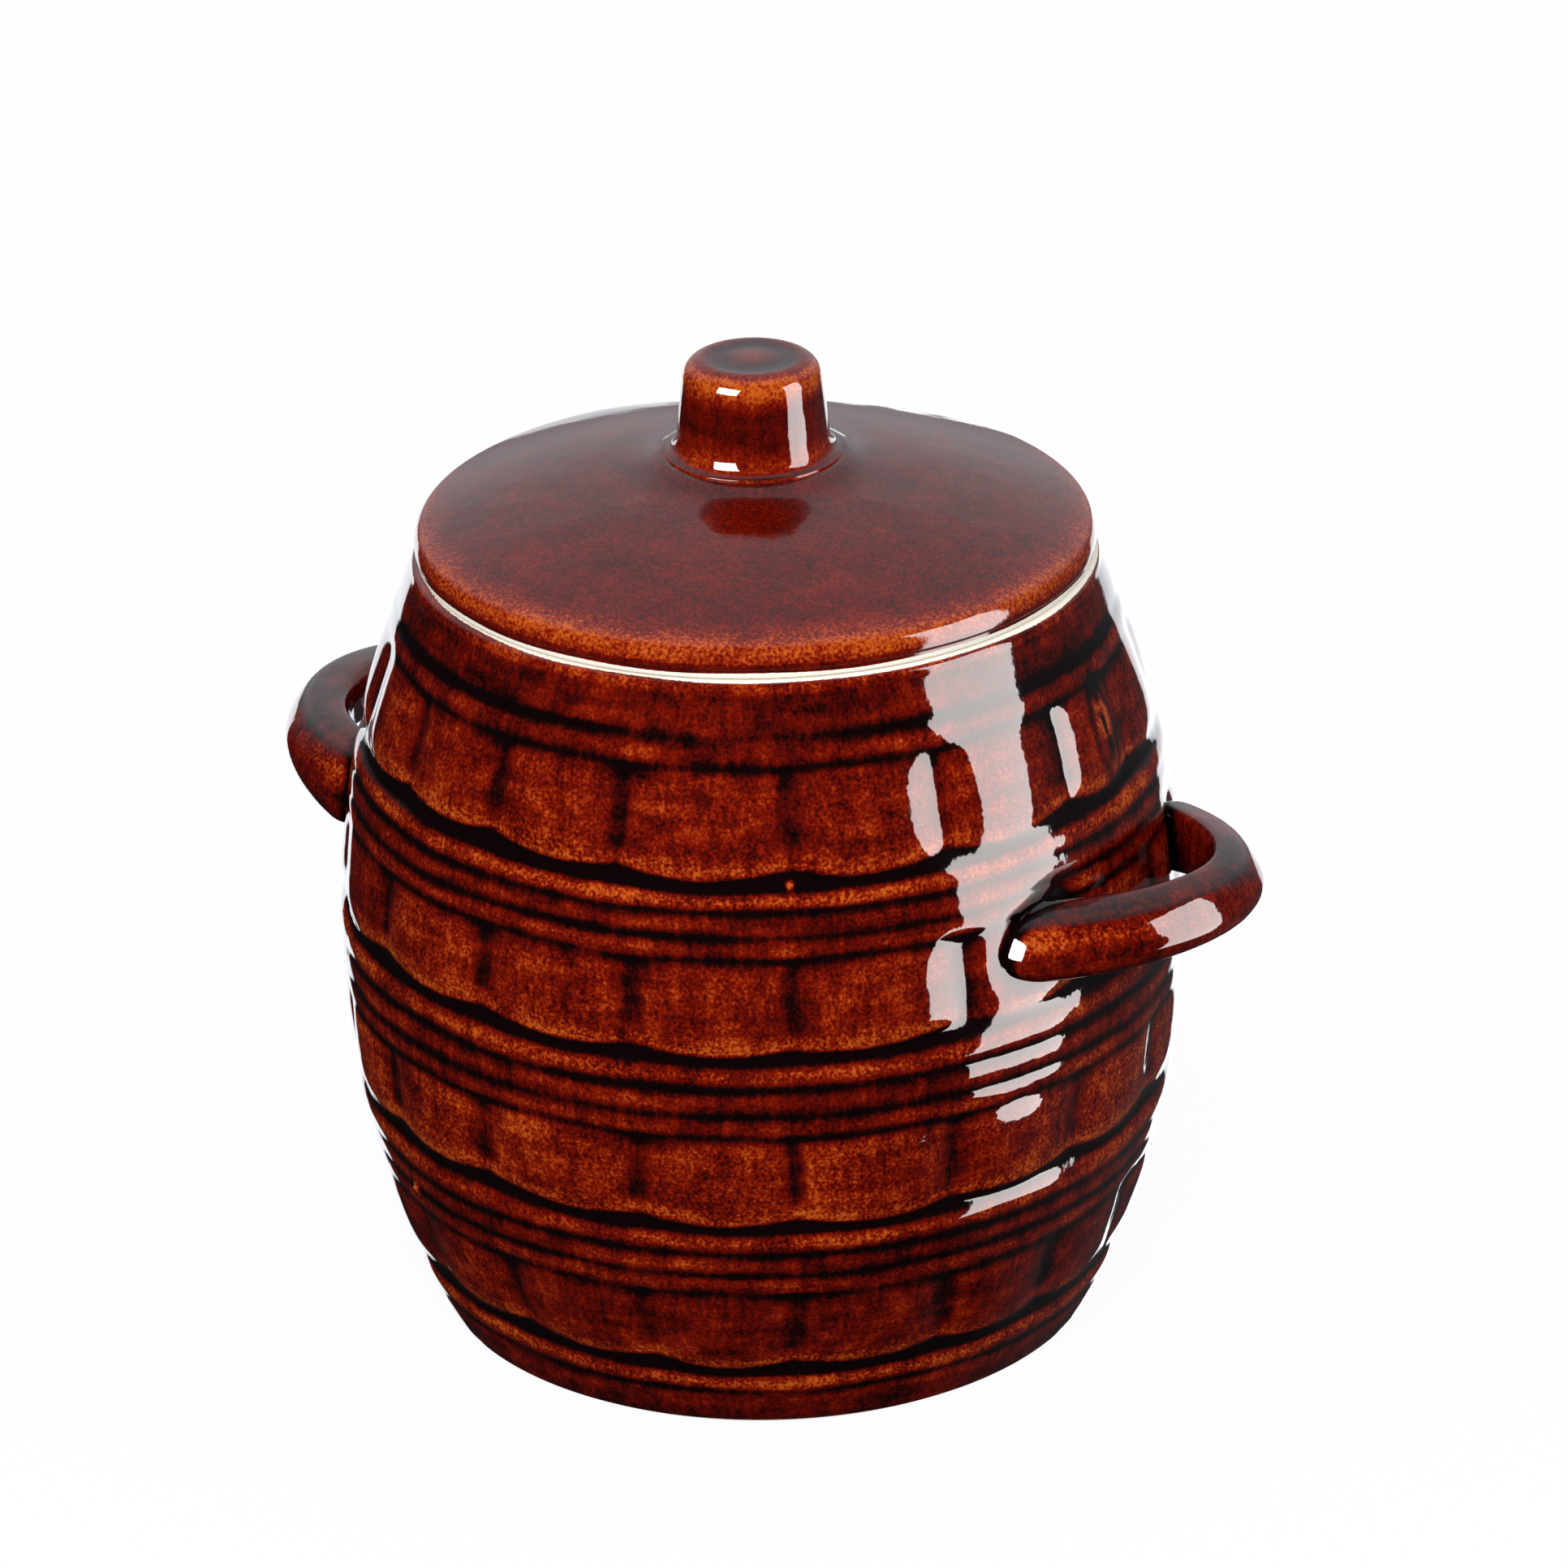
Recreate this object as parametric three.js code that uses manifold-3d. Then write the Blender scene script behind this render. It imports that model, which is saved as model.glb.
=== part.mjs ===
// Stoneware crock shaped like a hooped barrel, with two loop handles and a lift-off lid with a knob.
// Millimetres, +Z up, the foot stands on z = 0, the two handles lie along the X axis.

import * as THREE from 'three';
import Module from 'manifold-3d';

const wasm = await Module();
wasm.setup();

// Barrel curve: foot, belly and shoulder
const BODY_HEIGHT = 168.2;
const BELLY_RADIUS = 89;
const BELLY_LEVEL = 92;
const FOOT_RADIUS = 69.4;
const SHOULDER_RADIUS = 70.2;
const LOWER_SWELL = 2.4;
const UPPER_SWELL = 1.85;

// Foot: a flat ring to stand on around a shallow recess
const FOOT_RING_WIDTH = 10;
const FOOT_RECESS = 2;
const FOOT_ROUND = 1.6;
const FOOT_BAND = 9;
const FOOT_REED_HEIGHT = 5.6;

// Hoops of three reeds each: level of the middle and height of the hoop
const HOOP_LOW_LEVEL = 46;
const HOOP_LOW_HEIGHT = 17.2;
const HOOP_MID_LEVEL = 84.4;
const HOOP_MID_HEIGHT = 17.4;
const HOOP_TOP_LEVEL = 121.7;
const HOOP_TOP_HEIGHT = 14.4;
const HOOP_REEDS = 3;
const REED_GROOVE = 1.2;
const REED_ROUNDING = 0.15;
const REED_SHOULDER = 0.27;

// Staves: pillowed planks between the hoops
const STAVE_COUNT = 17;
const STAVE_TURN = 4.7;
const STAVE_JOINT_DEPTH = 1.5;
const STAVE_JOINT_HALF = 1.9;
const STAVE_EDGE = 1.8;
const STAVE_CROWN = 0.45;
const POOL_WIDTH = 2.4;
const POOL_DEPTH = 1.8;

// Rim: one reed, a groove, a plain band and a flat seat for the lid
const RIM_REED_LEVEL = 151.9;
const RIM_REED_HEIGHT = 6;
const RIM_BAND_MARGIN = 1.2;
const RIM_ROUND = 2.4;
const SEAT_WIDTH = 7.6;
const LIP_DEPTH = 7.2;
const LIP_ROUND = 1;

// Hollow
const WALL = 7.4;
const FLOOR_LEVEL = 9;
const FLOOR_ROUND = 16;
const LIP_SLOPE = 9;
const INNER_LEVELS = 5;

// Handles: loops of a rounded bar, rising outwards, luted to the barrel
const HANDLE_PROJECTION = 22;
const HANDLE_HALF_SPAN = 34.6;
const HANDLE_ROOT_DEPTH = 19;
const HANDLE_LOOP_POWER = 1.42;
const HANDLE_WIDTH = 12.5;
const HANDLE_HEIGHT = 12.5;
const HANDLE_SQUARE_POWER = 2.6;
const HANDLE_RISE_ANGLE = 6.5;
const HANDLE_LEVEL = 111;
const HANDLE_UNEVEN = 2.1;
const HANDLE_LEAN = 4;
const HANDLE_ROOT_RATIO = 1.2;
const HANDLE_STATIONS = 30;
const HANDLE_RING = 14;

// Lid: domed plate with a rolled edge and a locating flange
const LID_RADIUS = 70.3;
const LID_EDGE_HEIGHT = 6.9;
const LID_EDGE_TUCK = 2.2;
const LID_BEAD = 2.1;
const LID_BEAD_LOW_ANGLE = -20;
const LID_BEAD_HIGH_ANGLE = 65;
const LID_PAD_RADIUS = 19.4;
const LID_DOME_RISE = 13.7;
const LID_DOME_ROUND = 0.5;
const LID_DOME_STEPS = 5;
const LID_BEAD_STEPS = 4;
const LID_THICKNESS = 7;
const LID_PLAY = 1.3;
const FLANGE_THICKNESS = 5;
const FLANGE_DEPTH = 8.6;
const FLANGE_ROUND = 0.9;

// Knob: short cone on a flared foot
const KNOB_FOOT_RADIUS = 18.4;
const KNOB_NECK_RADIUS = 15.6;
const KNOB_TOP_RADIUS = 13.9;
const KNOB_HEIGHT = 20.6;
const KNOB_FLARE = 4.6;
const KNOB_FLARE_ANGLE = 60;
const KNOB_FLARE_STEPS = 2;
const KNOB_ROUND = 3.2;
const KNOB_ROUND_STEPS = 4;

// Seams between pieces that touch
const LUTE_GAP = 0.32;
const SEAT_GAP = 0.3;

// Fineness of the round forms
const STAVE_COLUMNS = 4;
const LID_COLUMNS = 44;
const KNOB_COLUMNS = 34;

const BODY_COLUMNS = STAVE_COUNT * STAVE_COLUMNS;
const HALF_TURN = 180;
const DEGREE = Math.PI / HALF_TURN;
const STAVE_PITCH = (2 * HALF_TURN) / STAVE_COUNT;

// Radius of the barrel over its foot, belly and shoulder at a level
function barrelRadius(level) {
  if (level < BELLY_LEVEL) {
    const drop = (BELLY_LEVEL - level) / BELLY_LEVEL;
    return BELLY_RADIUS - (BELLY_RADIUS - FOOT_RADIUS) * drop ** LOWER_SWELL;
  }
  const lift = (level - BELLY_LEVEL) / (BODY_HEIGHT - BELLY_LEVEL);
  return BELLY_RADIUS - (BELLY_RADIUS - SHOULDER_RADIUS) * lift ** UPPER_SWELL;
}

// One ring of the outer wall: level, depth under the barrel curve, share of the stave relief
function wallRow(level, depth, stave = 0) {
  return { radius: barrelRadius(level) - depth, level, stave };
}

// Rounded reeds between two levels, with a groove between neighbours
function reedRows(low, high, count) {
  const rows = [];
  const pitch = (high - low) / count;
  for (let reed = 0; reed < count; reed += 1) {
    const start = low + reed * pitch;
    if (reed > 0) {
      rows.push(wallRow(start, REED_GROOVE));
    }
    rows.push(wallRow(start + REED_SHOULDER * pitch, REED_ROUNDING));
    rows.push(wallRow(start + (1 - REED_SHOULDER) * pitch, REED_ROUNDING));
  }
  return rows;
}

// A band of staves over a pool groove, closed by a line groove at the top
function staveRows(low, high) {
  const sill = low + POOL_WIDTH;
  return [
    wallRow(low + POOL_WIDTH / 2, POOL_DEPTH),
    wallRow(sill + STAVE_EDGE / 2, STAVE_CROWN, 1),
    wallRow((sill + high) / 2, 0, 1),
    wallRow(high - STAVE_EDGE / 2, STAVE_CROWN, 1),
    wallRow(high, REED_GROOVE),
  ];
}

// Outer wall from the top of the foot band to the rim band
function outerRows() {
  const hoops = [
    [HOOP_LOW_LEVEL, HOOP_LOW_HEIGHT],
    [HOOP_MID_LEVEL, HOOP_MID_HEIGHT],
    [HOOP_TOP_LEVEL, HOOP_TOP_HEIGHT],
  ];
  const footReedTop = FOOT_BAND + RIM_BAND_MARGIN + FOOT_REED_HEIGHT;
  const rows = [
    wallRow(FOOT_ROUND, 0),
    wallRow(FOOT_BAND, REED_ROUNDING),
    wallRow(FOOT_BAND + RIM_BAND_MARGIN, REED_GROOVE),
    ...reedRows(FOOT_BAND + RIM_BAND_MARGIN, footReedTop, 1),
  ];
  let bandLow = footReedTop;
  for (const [level, height] of hoops) {
    const low = level - height / 2;
    const high = level + height / 2;
    rows.push(...staveRows(bandLow, low));
    rows.push(...reedRows(low, high, HOOP_REEDS));
    bandLow = high;
  }
  const rimGroove = RIM_REED_LEVEL + RIM_REED_HEIGHT;
  rows.push(...staveRows(bandLow, RIM_REED_LEVEL));
  rows.push(...reedRows(RIM_REED_LEVEL, rimGroove, 1));
  rows.push(wallRow(rimGroove, REED_GROOVE));
  rows.push(wallRow(rimGroove + RIM_BAND_MARGIN, REED_ROUNDING));
  rows.push(wallRow(BODY_HEIGHT - RIM_ROUND, 0));
  return rows;
}

// Inside of the crock from the seat down to the middle of the floor
function innerRows(mouth) {
  const lipLow = BODY_HEIGHT - LIP_DEPTH;
  const wallHigh = lipLow - LIP_SLOPE;
  const wallLow = FLOOR_LEVEL + FLOOR_ROUND;
  const rows = [
    { radius: mouth + LIP_ROUND, level: BODY_HEIGHT, stave: 0 },
    { radius: mouth, level: BODY_HEIGHT - LIP_ROUND, stave: 0 },
    { radius: mouth, level: lipLow, stave: 0 },
  ];
  for (let step = 0; step < INNER_LEVELS; step += 1) {
    const level = wallHigh + (wallLow - wallHigh) * (step / (INNER_LEVELS - 1));
    rows.push({ radius: barrelRadius(level) - WALL, level, stave: 0 });
  }
  const floorEdge = barrelRadius(wallLow) - WALL;
  const bend = Math.SQRT1_2;
  rows.push({
    radius: floorEdge - FLOOR_ROUND * (1 - bend),
    level: wallLow - FLOOR_ROUND * bend,
    stave: 0,
  });
  rows.push({ radius: floorEdge - FLOOR_ROUND, level: FLOOR_LEVEL, stave: 0 });
  rows.push({ radius: 0, level: FLOOR_LEVEL, stave: 0 });
  return rows;
}

// Angle of a column of the barrel: a stave joint, its two shoulders and the middle of the stave
function barrelColumn(column) {
  const stave = Math.floor(column / STAVE_COLUMNS);
  const place = column % STAVE_COLUMNS;
  const half = STAVE_JOINT_HALF / BELLY_RADIUS / DEGREE;
  const inStave = [0, half, STAVE_PITCH / 2, STAVE_PITCH - half][place];
  return (STAVE_TURN + stave * STAVE_PITCH + inStave) * DEGREE;
}

// Depth of the stave relief on a column: a joint groove beside pillowed shoulders
function barrelRelief(column) {
  return [STAVE_JOINT_DEPTH, STAVE_CROWN, 0, STAVE_CROWN][column % STAVE_COLUMNS];
}

// Closed solid of revolution from rings that start and end on the axis
function revolved(rows, columns, angleOf, reliefOf) {
  const inner = rows.slice(1, -1);
  const positions = [0, 0, rows[0].level];
  for (const row of inner) {
    for (let column = 0; column < columns; column += 1) {
      const angle = angleOf(column);
      const radius = row.radius - (row.stave ?? 0) * reliefOf(column);
      positions.push(radius * Math.cos(angle), radius * Math.sin(angle), row.level);
    }
  }
  positions.push(0, 0, rows[rows.length - 1].level);
  const last = positions.length / 3 - 1;
  const index = [];
  for (let column = 0; column < columns; column += 1) {
    const next = (column + 1) % columns;
    index.push(0, 1 + next, 1 + column);
    for (let ring = 0; ring < inner.length - 1; ring += 1) {
      const low = 1 + ring * columns;
      const high = low + columns;
      index.push(low + column, low + next, high + next);
      index.push(low + column, high + next, high + column);
    }
    const top = 1 + (inner.length - 1) * columns;
    index.push(top + column, top + next, last);
  }
  const geometry = new THREE.BufferGeometry();
  geometry.setAttribute('position', new THREE.Float32BufferAttribute(positions, 3));
  geometry.setIndex(index);
  geometry.computeVertexNormals();
  return geometry;
}

// Even columns for the plain round pieces
function evenColumn(columns) {
  return (column) => (column / columns) * 2 * Math.PI;
}

function noRelief() {
  return 0;
}

// Points of a quarter or half round from one angle to another
function arcRows(radius, level, reach, rise, from, to, steps) {
  const rows = [];
  for (let step = 0; step <= steps; step += 1) {
    const angle = (from + (to - from) * (step / steps)) * DEGREE;
    rows.push({ radius: radius + reach * Math.cos(angle), level: level + rise * Math.sin(angle) });
  }
  return rows;
}

// The barrel with its foot, hoops, staves, rim and hollow
function crockBody() {
  const seatEdge = barrelRadius(BODY_HEIGHT) - RIM_ROUND / 2;
  const mouth = seatEdge - SEAT_WIDTH;
  const ringInner = FOOT_RADIUS - FOOT_RING_WIDTH;
  const rows = [
    { radius: 0, level: FOOT_RECESS },
    { radius: ringInner - FOOT_RECESS, level: FOOT_RECESS },
    { radius: ringInner, level: 0 },
    { radius: FOOT_RADIUS - FOOT_ROUND, level: 0 },
    ...outerRows(),
    { radius: barrelRadius(BODY_HEIGHT) - RIM_ROUND / 6, level: BODY_HEIGHT - RIM_ROUND / 3 },
    { radius: seatEdge, level: BODY_HEIGHT },
    ...innerRows(mouth),
  ];
  return revolved(rows, BODY_COLUMNS, barrelColumn, barrelRelief);
}

// The filled barrel grown by the lute gap, to shape the ends of the handles
function barrelCore() {
  const grown = outerRows().map((row) => ({ ...row, radius: row.radius + LUTE_GAP }));
  const rows = [
    { radius: 0, level: grown[0].level },
    ...grown,
    { radius: 0, level: grown[grown.length - 1].level },
  ];
  return revolved(rows, BODY_COLUMNS, barrelColumn, barrelRelief);
}

// Middle line of a handle: from one root over the tip, which may lean to one side, to the other root
function handlePoint(turn, level, lean) {
  const tip = BELLY_RADIUS + HANDLE_PROJECTION - HANDLE_WIDTH / 2;
  const root = BELLY_RADIUS - HANDLE_ROOT_DEPTH;
  const reach = Math.max(Math.cos(turn), 0) ** (2 / HANDLE_LOOP_POWER);
  const x = root + (tip - root) * reach;
  const y = HANDLE_HALF_SPAN * Math.sin(turn) + lean * reach;
  return new THREE.Vector3(x, y, level + (x - tip) * Math.tan(HANDLE_RISE_ANGLE * DEGREE));
}

// Rounded-square ring of a bar, as width and height shares
function barShare(value) {
  return Math.sign(value) * Math.abs(value) ** (2 / HANDLE_SQUARE_POWER);
}

// Closed loop bar of a handle before its ends are shaped
function handleBar(level, lean) {
  const positions = [];
  const index = [];
  const step = Math.PI / HANDLE_STATIONS;
  const nudge = step / HANDLE_STATIONS;
  for (let station = 0; station <= HANDLE_STATIONS; station += 1) {
    const turn = station * step - Math.PI / 2;
    const centre = handlePoint(turn, level, lean);
    const ahead = handlePoint(Math.min(turn + nudge, Math.PI / 2), level, lean);
    const behind = handlePoint(Math.max(turn - nudge, -Math.PI / 2), level, lean);
    const along = ahead.sub(behind).setZ(0).normalize();
    const flare = 1 + (HANDLE_ROOT_RATIO - 1) * Math.sin(turn) ** 4;
    for (let corner = 0; corner < HANDLE_RING; corner += 1) {
      const angle = (corner / HANDLE_RING) * 2 * Math.PI;
      const out = (HANDLE_WIDTH / 2) * flare * barShare(Math.cos(angle));
      const rise = (HANDLE_HEIGHT / 2) * flare * barShare(Math.sin(angle));
      positions.push(centre.x + along.y * out, centre.y - along.x * out, centre.z + rise);
    }
  }
  for (let station = 0; station < HANDLE_STATIONS; station += 1) {
    for (let corner = 0; corner < HANDLE_RING; corner += 1) {
      const next = (corner + 1) % HANDLE_RING;
      const low = station * HANDLE_RING;
      const high = low + HANDLE_RING;
      index.push(low + corner, high + corner, high + next);
      index.push(low + corner, high + next, low + next);
    }
  }
  const end = HANDLE_STATIONS * HANDLE_RING;
  for (let corner = 1; corner < HANDLE_RING - 1; corner += 1) {
    index.push(0, corner, corner + 1);
    index.push(end, end + corner + 1, end + corner);
  }
  const geometry = new THREE.BufferGeometry();
  geometry.setAttribute('position', new THREE.Float32BufferAttribute(positions, 3));
  geometry.setIndex(index);
  return geometry;
}

// Solid body from a closed geometry
function solid(geometry) {
  const position = geometry.getAttribute('position');
  const mesh = new wasm.Mesh({
    numProp: 3,
    vertProperties: new Float32Array(position.array),
    triVerts: new Uint32Array(geometry.getIndex().array),
  });
  return new wasm.Manifold(mesh);
}

// Geometry of a solid body
function surface(body) {
  const mesh = body.getMesh();
  const geometry = new THREE.BufferGeometry();
  const positions = [];
  for (let vertex = 0; vertex < mesh.vertProperties.length; vertex += mesh.numProp) {
    positions.push(...mesh.vertProperties.slice(vertex, vertex + 3));
  }
  geometry.setAttribute('position', new THREE.Float32BufferAttribute(positions, 3));
  geometry.setIndex(Array.from(mesh.triVerts));
  geometry.computeVertexNormals();
  return geometry;
}

// Loop handle with its two ends fitted to the barrel: the right one is lower and leans
function handle(side) {
  const lean = side > 0 ? HANDLE_LEAN : 0;
  const bar = handleBar(HANDLE_LEVEL - side * HANDLE_UNEVEN, lean);
  if (side < 0) {
    bar.rotateZ(Math.PI);
  }
  return surface(solid(bar).subtract(solid(barrelCore())));
}

// Share of the dome's fall at a share of the way from the pad out to the edge
function domeFall(share) {
  return (1 - LID_DOME_ROUND) * share + LID_DOME_ROUND * share ** 2;
}

// Lid: locating flange, seat, rolled edge, dome and the flat pad under the knob
function lid() {
  const seat = BODY_HEIGHT + SEAT_GAP;
  const mouth = barrelRadius(BODY_HEIGHT) - RIM_ROUND / 2 - SEAT_WIDTH;
  const flangeOuter = mouth - LID_PLAY;
  const flangeInner = flangeOuter - FLANGE_THICKNESS;
  const flangeLow = seat - FLANGE_DEPTH;
  const pad = seat + LID_EDGE_HEIGHT + LID_DOME_RISE;
  const domeEdge = LID_RADIUS - LID_BEAD;
  const domeReach = domeEdge - LID_PAD_RADIUS;
  const rows = [{ radius: 0, level: pad - LID_THICKNESS }];
  for (let step = 1; step < LID_DOME_STEPS; step += 1) {
    const radius = flangeInner * (step / (LID_DOME_STEPS - 1));
    const share = Math.max(radius - LID_PAD_RADIUS, 0) / domeReach;
    rows.push({ radius, level: pad - LID_THICKNESS - LID_DOME_RISE * domeFall(share) });
  }
  rows.push({ radius: flangeInner, level: flangeLow + FLANGE_ROUND });
  rows.push({ radius: flangeInner + FLANGE_ROUND, level: flangeLow });
  rows.push({ radius: flangeOuter - FLANGE_ROUND, level: flangeLow });
  rows.push({ radius: flangeOuter, level: flangeLow + FLANGE_ROUND });
  rows.push({ radius: flangeOuter, level: seat });
  rows.push({ radius: LID_RADIUS - LID_EDGE_TUCK - LIP_ROUND / 2, level: seat });
  rows.push({ radius: LID_RADIUS - LID_EDGE_TUCK, level: seat + LIP_ROUND / 2 });
  rows.push(...arcRows(
    domeEdge, seat + LID_EDGE_HEIGHT - LID_BEAD, LID_BEAD, LID_BEAD,
    LID_BEAD_LOW_ANGLE, LID_BEAD_HIGH_ANGLE, LID_BEAD_STEPS,
  ));
  for (let step = LID_DOME_STEPS; step >= 0; step -= 1) {
    const share = (step / LID_DOME_STEPS) * (1 - LID_BEAD / domeReach);
    rows.push({ radius: LID_PAD_RADIUS + domeReach * share, level: pad - LID_DOME_RISE * domeFall(share) });
  }
  rows.push({ radius: 0, level: pad });
  return revolved(rows, LID_COLUMNS, evenColumn(LID_COLUMNS), noRelief);
}

// Knob: flared foot, tapering side and a rounded top edge
function knob() {
  const base = BODY_HEIGHT + SEAT_GAP + LID_EDGE_HEIGHT + LID_DOME_RISE + SEAT_GAP;
  const top = base + KNOB_HEIGHT;
  const rows = [
    { radius: 0, level: base },
    { radius: KNOB_FOOT_RADIUS - LIP_ROUND / 2, level: base },
    { radius: KNOB_FOOT_RADIUS, level: base + LIP_ROUND / 2 },
    ...arcRows(
      KNOB_FOOT_RADIUS, base + KNOB_FLARE, KNOB_FOOT_RADIUS - KNOB_NECK_RADIUS - LIP_ROUND / 2,
      KNOB_FLARE - LIP_ROUND, HALF_TURN + KNOB_FLARE_ANGLE, HALF_TURN, KNOB_FLARE_STEPS,
    ),
    ...arcRows(
      KNOB_TOP_RADIUS - KNOB_ROUND, top - KNOB_ROUND, KNOB_ROUND, KNOB_ROUND,
      0, HALF_TURN / 2, KNOB_ROUND_STEPS,
    ),
    { radius: 0, level: top },
  ];
  return revolved(rows, KNOB_COLUMNS, evenColumn(KNOB_COLUMNS), noRelief);
}

// Iron-brown glaze, a little deeper on the barrel than on the lid
function glaze(color) {
  return new THREE.MeshStandardMaterial({ color, roughness: 0.12, metalness: 0 });
}

const crock = new THREE.Group();
crock.name = 'stoneware_crock';

const pieces = {
  crock_body: [crockBody(), glaze(0x5a1c0e)],
  handle_right: [handle(1), glaze(0x6a2711)],
  handle_left: [handle(-1), glaze(0x6a2711)],
  lid: [lid(), glaze(0x63210f)],
  lid_knob: [knob(), glaze(0x6e2a12)],
};

for (const [name, [geometry, material]] of Object.entries(pieces)) {
  const mesh = new THREE.Mesh(geometry, material);
  mesh.name = name;
  crock.add(mesh);
}

export default crock;
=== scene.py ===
"""Looks of a stoneware crock: a hooped barrel in brown glaze with two loop handles and a knobbed lid.

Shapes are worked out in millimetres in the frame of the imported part, with +Z up, the handles along X and
the foot on z = 0, and they are written to the meshes in metres. Every surface is a function of two
parameters on a numpy grid, and carries two values per point: how thick the glaze is and how bare the clay.
"""

import logging
import math
from dataclasses import dataclass, field
from enum import Enum, auto
from typing import Any

import bpy
import numpy as np
from mathutils import Matrix, Vector


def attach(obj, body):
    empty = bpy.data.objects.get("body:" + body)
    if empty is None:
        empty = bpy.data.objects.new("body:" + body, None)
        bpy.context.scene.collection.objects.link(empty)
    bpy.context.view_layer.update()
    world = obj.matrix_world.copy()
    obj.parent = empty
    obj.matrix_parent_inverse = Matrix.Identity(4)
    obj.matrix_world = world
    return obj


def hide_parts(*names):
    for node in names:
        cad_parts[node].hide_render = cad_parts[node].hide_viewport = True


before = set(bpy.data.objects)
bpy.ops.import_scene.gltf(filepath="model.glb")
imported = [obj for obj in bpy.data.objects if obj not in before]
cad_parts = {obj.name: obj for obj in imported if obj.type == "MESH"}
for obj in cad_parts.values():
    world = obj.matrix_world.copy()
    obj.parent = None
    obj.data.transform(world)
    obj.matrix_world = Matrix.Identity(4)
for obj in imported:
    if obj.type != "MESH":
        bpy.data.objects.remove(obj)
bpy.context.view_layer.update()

LOG = logging.getLogger("stoneware_crock")
MM = 0.001
THICKNESS = "pool"
BARENESS = "bare"
Array = np.ndarray


# Curves and charts


def smooth(low: float, high: float, value: Array) -> Array:
    """Smooth step: 0 at low, 1 at high, and 3s squared less 2s cubed between.

    Args:
        low: Value where the step starts.
        high: Value where the step is full.
        value: Values to judge.

    Returns:
        The step at each value.
    """
    share = np.clip((value - low) / (high - low), 0.0, 1.0)
    return share * share * (3.0 - 2.0 * share)


def bell(offset: Array, width: float) -> Array:
    """Bell curve: e to the power of minus the squared offset in widths."""
    return np.exp(-((offset / width) ** 2))


def wander(angle: Array, seed: int, waves: tuple[int, ...], strength: float) -> Array:
    """Uneven line round the crock: a mean of cosines of whole turns, each with its own phase and share.

    Args:
        angle: Angles round the axis in radians.
        seed: Chooses phases and shares.
        waves: Waves per turn.
        strength: Largest size of the result.

    Returns:
        The line's offset at each angle.
    """
    chance = np.random.default_rng(seed)
    phases = chance.uniform(0.0, 2.0 * np.pi, len(waves))
    shares = chance.uniform(0.5, 1.0, len(waves))
    total = sum(share * np.cos(wave * angle + phase) for wave, phase, share in zip(waves, phases, shares))
    return strength * total / shares.sum()


def turn_off(angle: Array, meridian: float) -> Array:
    """Angle from a meridian, given in degrees, as radians from -pi to pi."""
    return np.angle(np.exp(1j * (angle - math.radians(meridian))))


def round_axis(radius: Array, angle: Array, level: Array) -> Array:
    """Points round the axis at radii, angles and levels."""
    return np.stack(np.broadcast_arrays(radius * np.cos(angle), radius * np.sin(angle), level), axis=-1)


def eased(count: int, ease: float) -> Array:
    """Shares from 0 to 1 that crowd at both ends: s less ease times sin(2 pi s) over 2 pi."""
    share = np.linspace(0.0, 1.0, count)
    return share - ease * np.sin(2.0 * np.pi * share) / (2.0 * np.pi)


def arc(
    centre: tuple[float, float], reach: float, rise: float, start: float, end: float, count: int
) -> Array:
    """Points (radius, level) of an elliptic arc from one angle to another, in degrees.

    Args:
        centre: Radius and level of the middle of the arc.
        reach: Half axis along the radius.
        rise: Half axis along the level.
        start: First angle.
        end: Last angle.
        count: Number of points.

    Returns:
        An array of count rows.
    """
    turn = np.radians(np.linspace(start, end, count))
    return np.stack([centre[0] + reach * np.cos(turn), centre[1] + rise * np.sin(turn)], axis=-1)


def line(start: tuple[float, float], end: tuple[float, float], count: int) -> Array:
    """Points (radius, level) of a straight line, without its last point."""
    return np.linspace(start, end, count, endpoint=False)


def blurred(chart: Array, across: float, along: float) -> Array:
    """Gaussian blur of a chart that closes round on its first axis and is mirrored at the second's ends.

    The chart's Fourier transform is multiplied by exp(-2 pi squared (frequency times width) squared).

    Args:
        chart: Values on an even grid.
        across: Width of the blur on the first axis, in samples.
        along: Width of the blur on the second axis, in samples.

    Returns:
        The blurred chart.
    """
    mirrored = np.concatenate([chart, chart[:, ::-1]], axis=1)
    first = np.fft.fftfreq(mirrored.shape[0])[:, None] * across
    second = np.fft.rfftfreq(mirrored.shape[1])[None, :] * along
    gain = np.exp(-2.0 * np.pi**2 * (first**2 + second**2))
    return np.fft.irfft2(np.fft.rfft2(mirrored) * gain, mirrored.shape)[:, : chart.shape[1]]


def read_chart(chart: Array, turn: Array, step: Array) -> Array:
    """Value of a chart between its samples: the mean of the four nearest, by closeness.

    Args:
        chart: Values on an even grid that closes round on its first axis.
        turn: Place on the first axis, in samples.
        step: Place on the second axis, in samples.

    Returns:
        The chart's value at each place.
    """
    step = np.clip(step, 0.0, chart.shape[1] - 1.001)
    column, row = np.floor(turn).astype(int), np.floor(step).astype(int)
    right, up = turn - column, step - row
    here, ahead = column % chart.shape[0], (column + 1) % chart.shape[0]
    low = chart[here, row] * (1.0 - right) + chart[ahead, row] * right
    high = chart[here, row + 1] * (1.0 - right) + chart[ahead, row + 1] * right
    return low * (1.0 - up) + high * up


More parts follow.
